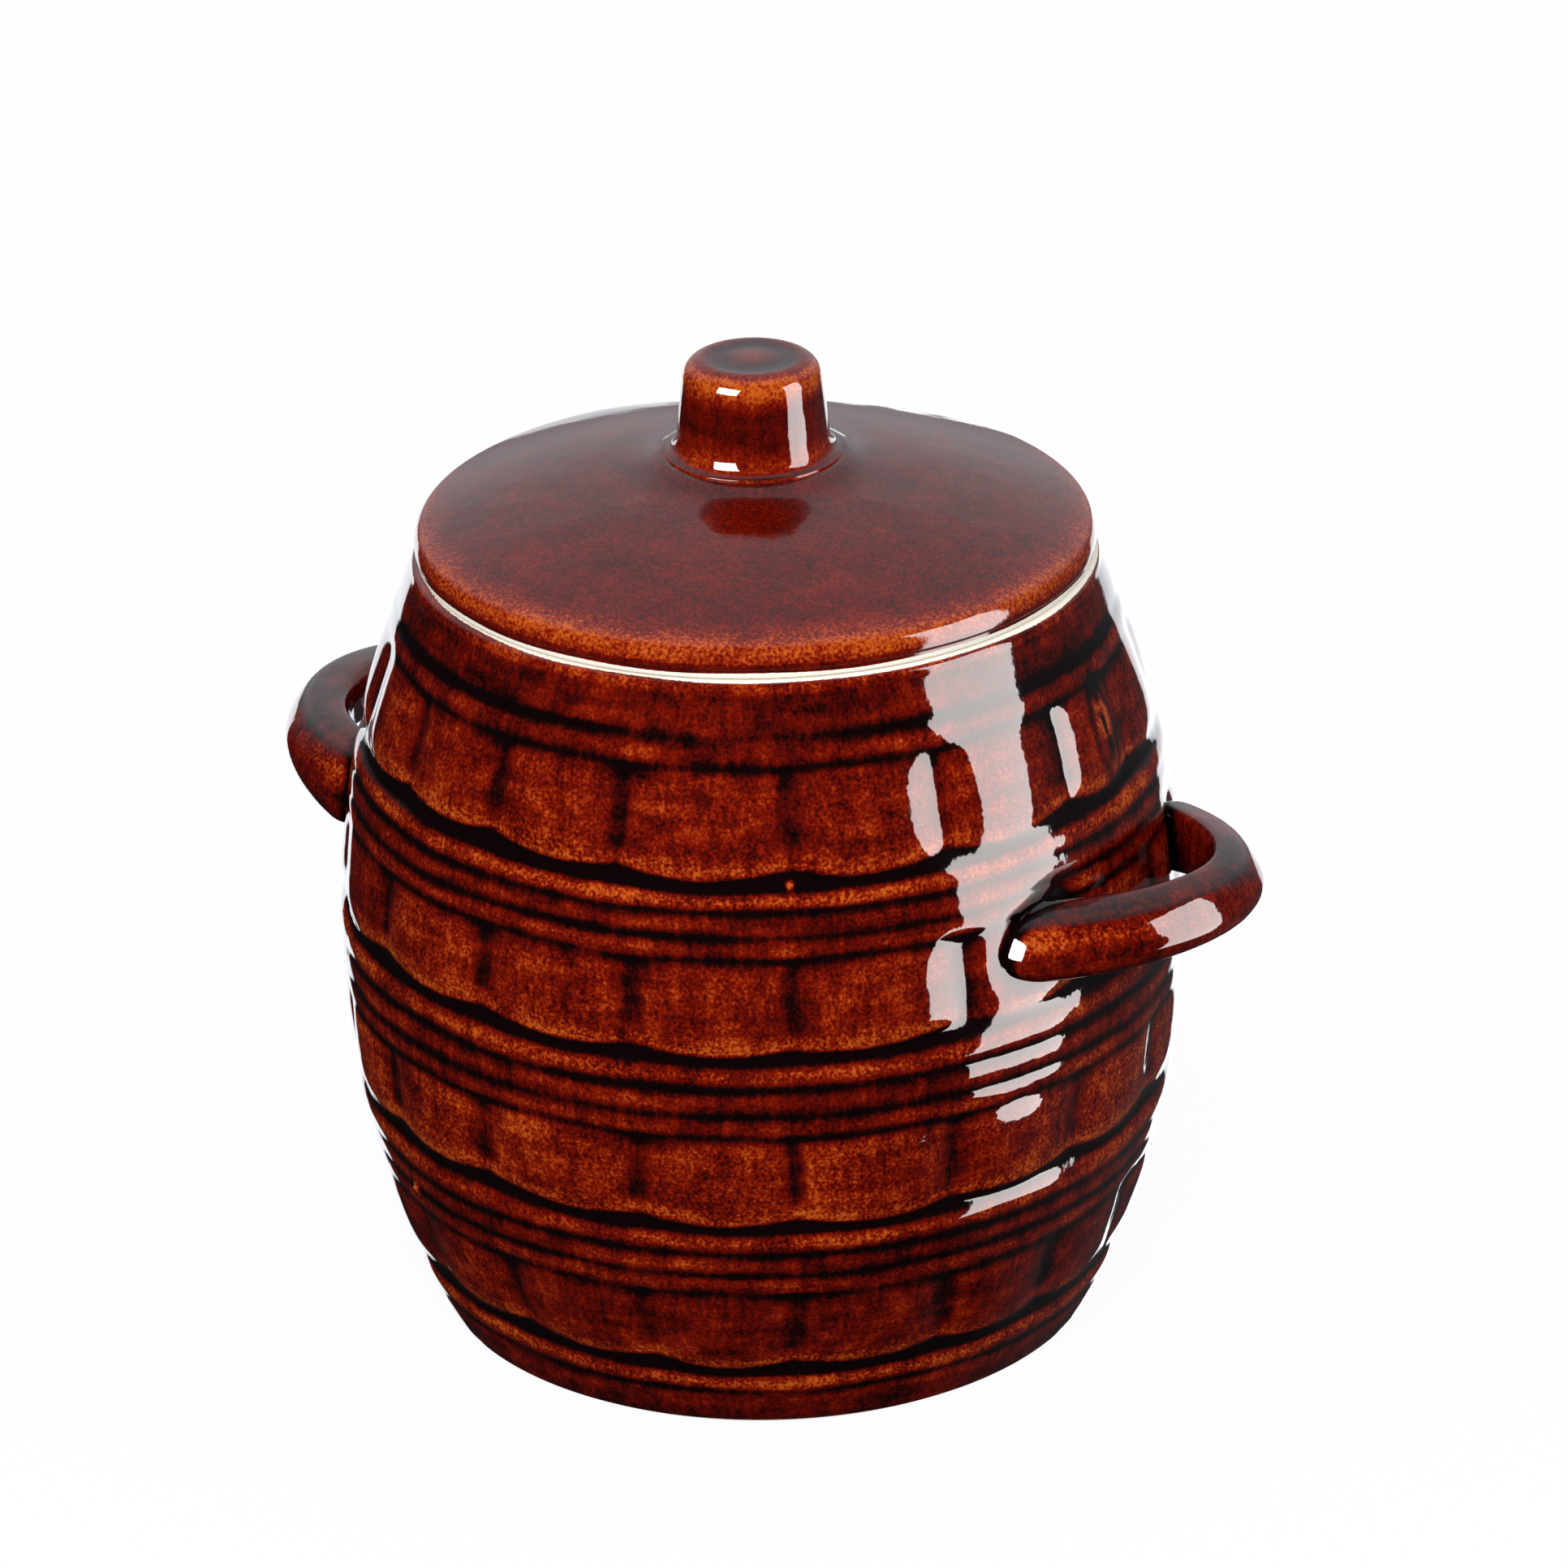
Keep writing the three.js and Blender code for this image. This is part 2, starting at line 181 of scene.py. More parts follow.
def profile_pool(profile: Array, width: float) -> Array:
    """How hollow a profile is: the way from each point to the blurred profile along the outward normal.

    Args:
        profile: Points (radius, level) in the order that keeps the outside on the right hand.
        width: Width of the Gaussian blur along the profile in millimetres.

    Returns:
        Millimetres, above 0 in a hollow and below 0 on an edge.
    """
    step = 0.2
    lengths = np.hypot(*np.diff(profile, axis=0).T)
    reach = np.concatenate([[0.0], np.cumsum(lengths)])
    even = np.arange(0.0, reach[-1], step)
    path = np.stack([np.interp(even, reach, profile[:, axis]) for axis in (0, 1)], axis=-1)
    half = int(3.0 * width / step)
    weight = bell(np.arange(-half, half + 1) * step, width * math.sqrt(2.0))
    weight = weight / weight.sum()
    padded = np.pad(path, ((half, half), (0, 0)), mode="reflect", reflect_type="odd")
    mean = np.stack([np.convolve(padded[:, axis], weight, "valid") for axis in (0, 1)], axis=-1)
    ahead = np.gradient(path, axis=0)
    ahead /= np.maximum(np.hypot(*ahead.T), 1e-9)[:, None]
    outward = np.stack([ahead[:, 1], -ahead[:, 0]], axis=-1)
    return np.interp(reach, even, np.sum((mean - path) * outward, axis=1))


# Meshes


def ring_faces(rings: int, columns: int) -> Array:
    """Faces of a grid of rings that close round: each joins two neighbours on a ring to the two above them.

    Args:
        rings: Number of rings.
        columns: Points on a ring.

    Returns:
        An array of four point numbers per face.
    """
    ring = np.arange(rings - 1)[:, None] * columns
    here = np.arange(columns)[None, :]
    ahead = (here + 1) % columns
    corners = [ring + here, ring + ahead, ring + columns + ahead, ring + columns + here]
    return np.stack(corners, axis=-1).reshape(-1, 4)


def cap_faces(rings: int, columns: int) -> Array:
    """Faces that close the first and the last ring to one point each, which follow the grid's points.

    Args:
        rings: Number of rings.
        columns: Points on a ring.

    Returns:
        An array of three point numbers per face.
    """
    here = np.arange(columns)
    ahead = (here + 1) % columns
    first, last = np.full(columns, rings * columns), np.full(columns, rings * columns + 1)
    top = (rings - 1) * columns
    below = np.stack([first, ahead, here], -1)
    above = np.stack([top + here, top + ahead, last], -1)
    return np.concatenate([below, above])


def add_to_scene(item: bpy.types.Object) -> None:
    """Links an object to the scene's own collection."""
    bpy.context.scene.collection.objects.link(item)


def lay_mesh(name: str, points: Array, poles: Array, fields: dict[str, Array]) -> bpy.types.Object:
    """Closed piece from a grid of rings and the two points that close its ends.

    Args:
        name: Name of the piece.
        points: Grid of points in millimetres, rings by columns by three.
        poles: The two closing points.
        fields: Values per grid point, by the name of the attribute.

    Returns:
        The new object, shaded smooth.
    """
    rings, columns = points.shape[:2]
    places = np.concatenate([points.reshape(-1, 3), poles]) * MM
    faces = ring_faces(rings, columns).tolist() + cap_faces(rings, columns).tolist()
    mesh = bpy.data.meshes.new(name)
    mesh.from_pydata(places.tolist(), [], faces)
    mesh.shade_smooth()
    for label, values in fields.items():
        ends = [values[0].mean(), values[-1].mean()]
        layer = mesh.attributes.new(label, "FLOAT", "POINT")
        layer.data.foreach_set("value", np.append(values.ravel(), ends).astype(np.float32))
    piece = bpy.data.objects.new(name, mesh)
    add_to_scene(piece)
    LOG.info("%s: %d points, %d faces", name, len(places), len(faces))
    return piece


def turned(name: str, profile: Array, columns: int, pool: Array, bare: Array) -> bpy.types.Object:
    """Piece turned on the wheel: each point of a profile carried round the axis.

    Args:
        name: Name of the piece.
        profile: Points (radius, level) from the axis below, round the outside, to the axis above.
        columns: Points on each ring.
        pool: Glaze thickness at each point of the profile, in one column or one for each point of a ring.
        bare: Bareness of the clay, laid out alike.

    Returns:
        The new object.
    """
    turn = np.linspace(0.0, 2.0 * np.pi, columns, endpoint=False)
    inner = profile[1:-1]
    points = round_axis(inner[:, :1], turn, inner[:, 1:])
    poles = np.array([[0.0, 0.0, profile[0, 1]], [0.0, 0.0, profile[-1, 1]]])
    spread = np.ones((1, columns))
    return lay_mesh(name, points, poles, {THICKNESS: pool[1:-1] * spread, BARENESS: bare[1:-1] * spread})


def settle(piece: bpy.types.Object, node: str, body: str, material: bpy.types.Material) -> None:
    """Dresses a piece, seats it on its body and lets it stand for its CAD node.

    Args:
        piece: The piece to settle.
        node: CAD node that it replaces.
        body: CAD body that it rides on.
        material: The piece's finish.
    """
    piece.data.materials.append(material)
    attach(piece, body)
    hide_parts(node)


# Shader trees


class Grain(Enum):
    """Patterns of noise: size of a patch in millimetres, octaves of detail, and scale of each axis."""

    SPECKS = (0.7, 3.0, (1.0, 1.0, 1.0))
    CLOUDS = (6.5, 3.0, (1.0, 1.0, 1.0))
    BROAD_CLOUDS = (17.0, 2.0, (1.0, 1.0, 1.0))
    RUNS = (1.5, 2.0, (1.0, 1.0, 0.22))
    BRUSHING = (2.4, 3.0, (0.14, 0.14, 1.0))
    CRUMBS = (0.5, 2.0, (1.0, 1.0, 1.0))
    RIPPLE = (9.0, 1.0, (1.0, 1.0, 1.0))
    FINE_RIPPLE = (1.8, 1.0, (1.0, 1.0, 1.0))


class Wire:
    """One socket of a shader tree. Arithmetic on wires adds Math nodes."""

    def __init__(self, bench: "Bench", socket: bpy.types.NodeSocket | None) -> None:
        """Keeps the tree's bench and the socket."""
        self.bench = bench
        self.socket = socket

    def __add__(self, other: "Wire | float") -> "Wire":
        """Sum."""
        return self.bench.maths("ADD", self, other)

    def __sub__(self, other: "Wire | float") -> "Wire":
        """Difference."""
        return self.bench.maths("SUBTRACT", self, other)

    def __rsub__(self, other: float) -> "Wire":
        """Difference from a number."""
        return self.bench.maths("SUBTRACT", other, self)

    def __mul__(self, other: "Wire | float") -> "Wire":
        """Product."""
        return self.bench.maths("MULTIPLY", self, other)

    __radd__ = __add__
    __rmul__ = __mul__

    def step(self, low: float, high: float) -> "Wire":
        """Smooth step of the value from 0 at low to 1 at high."""
        sockets = {"Value": self, "From Min": low, "From Max": high}
        return self.bench.node("ShaderNodeMapRange", {"interpolation_type": "SMOOTHSTEP"}, sockets)


class Bench:
    """A shader tree under construction."""

    def __init__(self, tree: bpy.types.NodeTree) -> None:
        """Empties the tree and keeps it."""
        tree.nodes.clear()
        self.tree = tree

    def node(self, kind: str, settings: dict[str, Any], sockets: dict[Any, Any], output: Any = 0) -> Wire:
        """Adds a node, sets it, and feeds its sockets.

        Args:
            kind: Type of the node.
            settings: Properties, set first. stops fills a colour ramp with (place, colour) pairs.
            sockets: Values or wires by the input's name or number.
            output: Name or number of the output to return.

        Returns:
            The wire from that output.
        """
        made = self.tree.nodes.new(kind)
        for name, value in settings.items():
            if name == "stops":
                self.fill_ramp(made.color_ramp, value)
            else:
                setattr(made, name, value)
        for name, value in sockets.items():
            if isinstance(value, Wire):
                self.tree.links.new(value.socket, made.inputs[name])
            else:
                made.inputs[name].default_value = value
        return Wire(self, made.outputs[output] if len(made.outputs) else None)

    @staticmethod
    def fill_ramp(ramp: bpy.types.ColorRamp, stops: tuple) -> None:
        """Sets the stops of a colour ramp.

        Args:
            ramp: The ramp to fill.
            stops: Pairs of a place and a colour, in rising order.
        """
        while len(ramp.elements) < len(stops):
            ramp.elements.new(1.0)
        for element, (place, colour) in zip(ramp.elements, stops):
            element.position = place
            element.color = (*colour, 1.0)

    def maths(self, operation: str, first: Wire | float, second: Wire | float) -> Wire:
        """Math node of two values."""
        return self.node("ShaderNodeMath", {"operation": operation}, {0: first, 1: second})

    def noise(self, place: Wire, grain: Grain) -> Wire:
        """Noise about 0.

        Args:
            place: Coordinates in metres.
            grain: The pattern.

        Returns:
            Noise from about -0.5 to 0.5.
        """
        size, detail, stretch = grain.value
        moved = self.node("ShaderNodeMapping", {}, {"Vector": place, "Scale": stretch}, "Vector")
        sockets = {"Vector": moved, "Scale": 1.0 / (size * MM), "Detail": detail}
        return self.node("ShaderNodeTexNoise", {}, sockets, "Fac") - 0.5

    def mixed(self, share: Wire, first: Any, second: Any) -> Wire:
        """Colour between two colours by a share."""
        return self.node("ShaderNodeMix", {"data_type": "RGBA"}, {0: share, 6: first, 7: second}, 2)

    def facing(self, ray: Wire, direction: Vector) -> Wire:
        """Cosine of the angle between a ray and a direction."""
        dot = {"operation": "DOT_PRODUCT"}
        return self.node("ShaderNodeVectorMath", dot, {0: ray, 1: direction}, "Value")

    def ray_kind(self, output: str) -> Wire:
        """1 for the rays that an output of the Light Path node is named after, and 0 for others."""
        return self.node("ShaderNodeLightPath", {}, {}, output)


def new_material(name: str) -> tuple[bpy.types.Material, Bench]:
    """Makes a material with an empty shader tree.

    Args:
        name: Name of the material.

    Returns:
        The material and the bench of its tree.
    """
    made = bpy.data.materials.new(name)
    made.use_nodes = True
    return made, Bench(made.node_tree)


@dataclass(frozen=True)
class Glaze:
    """Iron-brown glaze: amber where it runs thin over edges, red-brown on faces, black where it pools.

    Thickness is the mesh's pool value with mottling added. A colour ramp turns it into the glaze's colour.
    """

    name: str
    base: float = 0.5
    depth: float = 0.8
    mottle: float = 0.7
    thin_mottle: float = 1.3
    cloud: float = 0.68
    broad_cloud: float = 0.5
    streak: float = 0.5
    polish: float = 0.03
    cloud_dulling: float = 0.02
    clay_dulling: float = 0.75
    ragged_edge: float = 0.5
    fine_ripple: float = 0.12
    ripple_strength: float = 0.25
    ripple_height: float = 0.6
    stops: tuple = (
        (0.0, (0.45, 0.084, 0.0096)),
        (0.14, (0.33, 0.040, 0.0042)),
        (0.32, (0.188, 0.0094, 0.0016)),
        (0.50, (0.104, 0.0033, 0.0011)),
        (0.66, (0.048, 0.0019, 0.0011)),
        (0.82, (0.010, 0.0012, 0.0011)),
        (1.0, (0.0034, 0.0010, 0.0012)),
    )
    clay: tuple = (0.88, 0.84, 0.75, 1.0)
    dark_clay: tuple = (0.82, 0.75, 0.62, 1.0)

    def material(self) -> bpy.types.Material:
        """Builds the glaze's material.

        Returns:
            The material, which reads Object coordinates and the attributes pool and bare.
        """
        made, bench = new_material(self.name)
        place = bench.node("ShaderNodeTexCoord", {}, {}, "Object")
        pool, bare = (
            bench.node("ShaderNodeAttribute", {"attribute_name": label}, {}, "Fac")
            for label in (THICKNESS, BARENESS)
        )
        noises = [bench.noise(place, grain) for grain in Grain]
        specks, cloud, broad, runs, brush, crumbs, ripple, fine = noises
        thin = (0.0 - pool).step(-0.1, 0.3)
        mottling = self.mottle * (1.0 + self.thin_mottle * thin) * specks
        clouding = self.cloud * (cloud + self.broad_cloud * broad)
        thick = self.base + self.depth * pool + (mottling + clouding + self.streak * (runs + brush))
        tone = bench.node("ShaderNodeValToRGB", {"stops": self.stops}, {"Fac": thick}, "Color")
        clay = bench.mixed(crumbs.step(-0.1, 0.3), self.clay, self.dark_clay)
        edge = (bare + self.ragged_edge * specks).step(0.42, 0.58)
        waves = {
            "Height": ripple + self.fine_ripple * fine,
            "Strength": self.ripple_strength,
            "Distance": self.ripple_height * MM,
        }
        dulling = self.cloud_dulling * cloud.step(-0.2, 0.3)
        sockets = {
            "Base Color": bench.mixed(edge, tone, clay),
            "Roughness": self.polish + dulling + self.clay_dulling * edge,
            "IOR": 1.5,
            "Normal": bench.node("ShaderNodeBump", {}, waves, "Normal"),
        }
        shader = bench.node("ShaderNodeBsdfPrincipled", {}, sockets, "BSDF")
        bench.node("ShaderNodeOutputMaterial", {}, {"Surface": shader})
        return made


# The barrel


LINE_WAVES = (2, 3, 5, 9, 14)
DEPTH_WAVES = (1, 2, 4, 7)
FLOW_WAVES = (2, 5, 9, 14, 23)
RIM_WAVES = (2, 3, 7, 12)
LID_WAVES = (1, 2, 3, 7, 12)


class Course(Enum):
    """Kinds of course that the wall of the barrel is laid out in."""

    REED = auto()
    POOL = auto()
    STAVE = auto()


@dataclass(frozen=True)
class Groove:
    """A line round the wall between two courses."""

    level: float
    depth: float
    waver: float = 0.35
    fill_angle: float = 0.0
    fill_width: float = 1.0
    fill: float = 0.0
    sag: float = 0.0
    sag_angle: float = -64.0
    sag_width: float = 36.0
    uneven: float = 0.3

    @property
    def seed(self) -> int:
        """Number that chooses the line's own waver."""
        return int(self.level * 10)

    def at(self, angle: Array) -> Array:
        """Level of the line at each angle: its own level, a slight waver, and a sag on one side."""
        sagging = self.sag * bell(turn_off(angle, self.sag_angle), math.radians(self.sag_width))
        return self.level + wander(angle, self.seed, LINE_WAVES, self.waver) - sagging

    def sunk(self, angle: Array) -> Array:
        """Depth of the line at each angle: uneven, and less where glaze has filled it."""
        filled = self.fill * bell(turn_off(angle, self.fill_angle), math.radians(self.fill_width))
        return self.depth * (1.0 + wander(angle, self.seed + 7, DEPTH_WAVES, self.uneven)) * (1.0 - filled)


@dataclass(frozen=True)
class Band:
    """One course of the wall, between two grooves. Courses of staves are numbered from the foot up."""

    kind: Course
    low: Groove
    high: Groove
    rows: int
    crest: float = 0.0
    flatness: float = 1.8
    tone: float = 0.0
    course: int = 0


@dataclass(frozen=True)
class Spot:
    """A bell-shaped spot on the wall: meridian in degrees, level, half width, half height and amount."""

    turn: float
    level: float
    wide: float
    tall: float
    amount: float = 1.0


@dataclass(frozen=True)
class StaveLie:
    """How points lie on their staves.

    stave and joint number the stave and the nearer joint. aside and lift are shares across and up it,
    inside is the depth within its outline in millimetres, and at_foot and at_head are nearness to its ends.
    """

    stave: Array
    joint: Array
    aside: Array
    lift: Array
    inside: Array
    at_foot: Array
    at_head: Array


@dataclass
class Barrel:
    """The crock's body: staves and hoops in relief on a swelling wall, a rim with a seat, and a hollow."""

    height: float = 168.2
    belly: float = 89.0
    belly_level: float = 92.0
    foot: float = 69.4
    shoulder: float = 70.2
    lower_swell: float = 2.4
    upper_swell: float = 1.85
    wall: float = 7.4
    wall_low: float = 1.6
    wall_high: float = 166.0
    recess: float = 2.0
    stand: float = 10.0
    floor_level: float = 9.0
    seat_edge: float = 69.0
    mouth: float = 61.4
    wiped: float = 167.75
    wiped_side: float = -122.0
    staves: int = 17
    stave_turn: float = 4.7
    stave_columns: int = 22
    offsets: tuple[float, ...] = (
        0.3, -0.6, 0.5, 0.9, -0.7, 0.2, -0.4, 0.8, -0.9, 0.4, -0.3, -1.1, -1.8, 0.2, 0.6, 1.65, 0.8,
    )
    top_offsets: tuple[float, ...] = (
        0.0, 0.4, -0.8, 0.0, 1.1, -0.5, 0.7, 0.0, -1.0, 0.6, 0.0, 0.0, 0.0, -3.0, 0.0, 1.2, 3.3,
    )
    joint_half: float = 0.3
    joint_depth: float = 0.12
    joint_sunk: tuple[float, float] = (0.2, 2.4)
    joint_close: tuple[float, ...] = (2.4, 3.2, 3.0, 0.6)
    joint_shade: float = 0.36
    joint_shade_reach: float = 2.4
    streak_joint: int = 14
    streak_joint_sunk: tuple[float, ...] = (1.1, 0.25, 1.0, 0.8)
    streak_stave: int = 15
    streak_stave_lean: tuple[float, ...] = (0.0, 0.0, 1.2, -0.1)
    stave_lean: float = 0.25
    stave_proud: float = 0.15
    stave_tone: float = 0.08
    stave_crown: float = 1.6
    end_crown: float = 0.3
    least_lip: float = 0.12
    edge_round: float = 3.2
    foot_tight: float = 0.5
    head_tight: float = 1.5
    foot_reach: float = 6.0
    head_reach: float = 3.5
    foot_corner: float = 1.0
    head_corner: float = 1.6
    foot_bow: float = 1.9
    head_bow: float = 0.7
    edge_thin: float = 0.48
    edge_thin_reach: float = 2.3
    reed_uneven: float = 0.22
    pool_deep: float = 0.72
    pool_uneven: float = 0.45
    rim_pool: float = 0.8
    rim_pool_reach: float = 1.3
    root_pool: float = 1.3
    root_pool_reach: float = 2.1
    root_groove: float = 2.0
    root_reach: float = 4.2
    fill: float = 0.9
    chart_turns: int = 1360
    chart_step: float = 0.4
    chart_radius: float = 83.0
    blurs: tuple[float, float, float] = (0.4, 2.1, 4.0)
    flow_blur: float = 0.3
    hollow_blur: float = 0.9
    edge_gain: float = 0.55
    flow_gain: float = 0.7
    slow_waves: tuple = ((0.10, 5.0, 9.0, 0.0), (0.08, 11.0, -14.0, 1.0), (0.05, 23.0, 6.0, 2.0))
    knot_level: float = 143.5
    knot_pits: tuple = (
        (-0.3, -0.2, 0.8, 1.4), (-1.3, 2.1, 0.6, 0.9), (0.0, 6.6, 1.0, 2.8), (0.2, -4.7, 0.8, 2.3),
    )
    knot_swell: Spot = Spot(5.0, 144.0, 3.4, 9.0, 0.8)
    thick_patches: tuple[Spot, ...] = (
        Spot(-36.0, 58.0, 22.0, 18.0, 0.2),
        Spot(-97.0, 57.0, 14.0, 14.0, 0.12),
        Spot(-10.0, 154.0, 18.0, 16.0, 0.16),
        Spot(-20.0, 25.0, 26.0, 14.0, 0.08),
        Spot(-41.0, 101.0, 11.0, 9.0, 0.14),
    )
    beads: tuple[Spot, ...] = (Spot(-58.2, 129.6, 1.05, 1.05), Spot(-122.0, 42.5, 1.05, 1.05))
    bands: list[Band] = field(default_factory=list)

    def __post_init__(self) -> None:
        """Lays out the courses from the foot to the rim."""
        foot, top = Groove(self.wall_low, 0.0, 0.0), Groove(self.wall_high, 0.0, 0.0)
        base = Groove(9.9, 1.1)
        rim = Groove(157.7, 1.2, 0.4, -66.0, 26.0, 0.85)
        sills = [Groove(level, 1.9, 0.5, sag=1.7) for level in (18.0, 55.9, 95.2, 131.5)]
        heads = [Groove(level, 1.05, 0.4) for level in (37.4, 75.7, 114.5, 151.9)]
        ledges = [Groove(level, 1.6, 0.35, sag=1.4) for level in (16.1, 54.6, 93.7, 129.5)]
        between = ((42.4, 47.8), (80.7, 87.0), (119.1, 124.4))
        crests, reed_tones = (-0.05, -0.05, 0.3), (0.17, 0.17, 0.1)
        stave_tones = (0.04, -0.19, -0.05, -0.05)
        self.bands = [
            Band(Course.REED, foot, base, 7, 0.0, 6.0, 0.08),
            Band(Course.REED, base, ledges[0], 9, 0.15),
        ]
        for course, (sill, head, ledge) in enumerate(zip(sills, heads, ledges)):
            self.bands.append(Band(Course.POOL, ledge, sill, 5))
            self.bands.append(Band(Course.STAVE, sill, head, 19, tone=stave_tones[course], course=course))
            if course < len(between):
                lines = [head, *(Groove(level, 1.15, 0.4) for level in between[course]), ledges[course + 1]]
                for crest, tone, low, high in zip(crests, reed_tones, lines, lines[1:]):
                    self.bands.append(Band(Course.REED, low, high, 8, crest, tone=tone))
        self.bands.append(Band(Course.REED, heads[-1], rim, 8, 0.1, tone=0.18))
        self.bands.append(Band(Course.REED, rim, top, 9, 0.0, 5.0, 0.2))

    def envelope(self, level: Array) -> Array:
        """Radius over the relief: the belly's less a power of the way to the foot or to the shoulder.

        Args:
            level: Heights in millimetres.

        Returns:
            Radii in millimetres.
        """
        drop = np.clip((self.belly_level - level) / self.belly_level, 0.0, 1.1)
        lift = np.clip((level - self.belly_level) / (self.height - self.belly_level), 0.0, 1.1)
        below = (self.belly - self.foot) * drop**self.lower_swell
        above = (self.belly - self.shoulder) * lift**self.upper_swell
        return self.belly - below - above

    def arc_from(self, angle: Array, turn: float) -> Array:
        """Millimetres round the belly from a meridian, given in degrees."""
        return self.belly * turn_off(angle, turn)

    def spot(self, spot: Spot, angle: Array, level: Array) -> Array:
        """Size of a spot at places on the wall."""
        away = np.hypot(self.arc_from(angle, spot.turn) / spot.wide, (level - spot.level) / spot.tall)
        return spot.amount * bell(away, 1.0)

    def joint_angle(self, joint: Array, level: Array) -> Array:
        """Angle of a stave joint: even pitch, its own offset, and a slight waver up the wall.

        Args:
            joint: Numbers of joints.
            level: Heights in millimetres.

        Returns:
            Angles in radians.
        """
        number = joint % self.staves
        offset = np.array(self.offsets)[number] + 0.4 * np.sin(level / 13.0 + 2.1 * number)
        offset = offset + np.array(self.top_offsets)[number] * smooth(124.0, 134.0, level)
        return np.radians(self.stave_turn + joint * 360.0 / self.staves + offset)

    def stave_place(self, angle: Array, level: Array) -> tuple[Array, Array, Array]:
        """Finds the stave at a place on the wall.

        Args:
            angle: Angles in radians.
            level: Heights in millimetres.

        Returns:
            The stave's number, the share of the way across it, and its width as an angle.
        """
        guess = np.floor((np.degrees(angle) - self.stave_turn) / (360.0 / self.staves)).astype(int)
        before = angle < self.joint_angle(guess, level)
        stave = guess - before + (angle >= self.joint_angle(guess + 1, level))
        start = self.joint_angle(stave, level)
        width = self.joint_angle(stave + 1, level) - start
        return stave, (angle - start) / width, width

    def lie(self, band: Band, angle: Array, level: Array) -> StaveLie:
        """Places points on the staves of a band, each a rectangle with rounded corners and bowed ends.

        Args:
            band: The band of staves.
            angle: Angles in radians.
            level: Heights in millimetres.

        Returns:
            How the points lie on their staves.
        """
        low, high = band.low.at(angle), band.high.at(angle)
        stave, share, width = self.stave_place(angle, level)
        half = 0.5 * width * self.envelope(level) - self.joint_half
        across = (share - 0.5) * 2.0 * (half + self.joint_half)
        aside = np.clip(across / half, -1.0, 1.0)
        low, high = low + self.foot_bow * aside**2, high - self.head_bow * aside**2
        tall = 0.5 * (high - low)
        up = level - 0.5 * (low + high)
        corner = np.where(up < 0.0, self.foot_corner, self.head_corner)
        at_foot, at_head = smooth(self.foot_reach, 0.0, up + tall), smooth(self.head_reach, 0.0, tall - up)
        side = np.abs(across) - half + corner - self.joint_close[band.course] * at_foot
        end = np.abs(up) - tall + corner
        beyond = np.hypot(np.maximum(side, 0.0), np.maximum(end, 0.0))
        inside = corner - np.minimum(np.maximum(side, end), 0.0) - beyond
        joint = (stave + (share > 0.5)) % self.staves
        return StaveLie(stave % self.staves, joint, aside, up / tall, inside, at_foot, at_head)

    def stave_relief(self, band: Band, angle: Array, level: Array) -> Array:
        """Height of the staves of one band: pillowed planks with rounded edges and sunk joints.

        Over the width of the edge the surface rises from the joint or the pool to the face, by a sine at
        the sides and by a quarter round at the ends. The face is crowned both ways.

        Args:
            band: The band of staves.
            angle: Angles in radians.
            level: Heights in millimetres.

        Returns:
            Heights over the barrel's envelope in millimetres.
        """
        lie = self.lie(band, angle, level)
        chance = np.random.default_rng(40 + band.course)
        sunk = chance.uniform(*self.joint_sunk, self.staves)
        lean = chance.uniform(-self.stave_lean, self.stave_lean, self.staves)
        proud = chance.uniform(-self.stave_proud, self.stave_proud, self.staves)
        sunk[self.streak_joint] = self.streak_joint_sunk[band.course]
        lean[self.streak_stave] = self.streak_stave_lean[band.course]
        joint = self.stave_crown + self.joint_depth * sunk[lie.joint]
        crown = self.stave_crown * lie.aside**2 * (1.0 - 0.5 * lie.at_foot)
        crown = crown + self.end_crown * np.clip(lie.lift, -1.0, 1.0) ** 4
        sill, head = band.low.sunk(angle) - joint, band.high.sunk(angle) - joint
        floor = np.maximum(joint + sill * lie.at_foot**2 + head * lie.at_head, crown + self.least_lip)
        at_end = np.maximum(lie.at_foot, lie.at_head)
        edge = self.edge_round - self.foot_tight * lie.at_foot - self.head_tight * lie.at_head
        inset = np.clip(lie.inside / edge, 0.0, 1.0)
        quarter = np.sqrt(1.0 - (1.0 - inset) ** 2)
        rise = np.sin(0.5 * np.pi * inset) * (1.0 - at_end) + quarter * at_end
        face = proud[lie.stave] + lean[lie.stave] * lie.aside - crown
        return rise * (face + floor) - floor

    def stave_flow(self, band: Band, angle: Array, level: Array) -> Array:
        """Glaze on the staves of one band: thick past their ends, thin on their lower edges, and darker
        beside the joints as painted shade.

        Args:
            band: The band of staves.
            angle: Angles in radians.
            level: Heights in millimetres.

        Returns:
            Thickness added.
        """
        lie = self.lie(band, angle, level)
        deep = smooth(0.5, -0.3, lie.inside) * np.maximum(lie.at_foot**2, 0.6 * lie.at_head)
        edge = smooth(0.1, 0.7, lie.inside) * np.exp(-np.maximum(lie.inside, 0.0) / self.edge_thin_reach)
        tones, shades = (np.random.default_rng(seed + band.course) for seed in (60, 70))
        tone = tones.uniform(-self.stave_tone, self.stave_tone, self.staves)
        shade = shades.uniform(0.0, self.joint_shade, self.staves)
        clear = 1.0 - np.maximum(0.9 * lie.at_foot, 0.5 * lie.at_head)
        # Painted shade: extra thickness that fades away from each joint darkens it like shade in the
        # groove.
        dark = smooth(self.joint_shade_reach, 0.0, lie.inside) * clear * shade[lie.joint]
        return deep - self.edge_thin * edge * lie.at_foot + tone[lie.stave] + dark

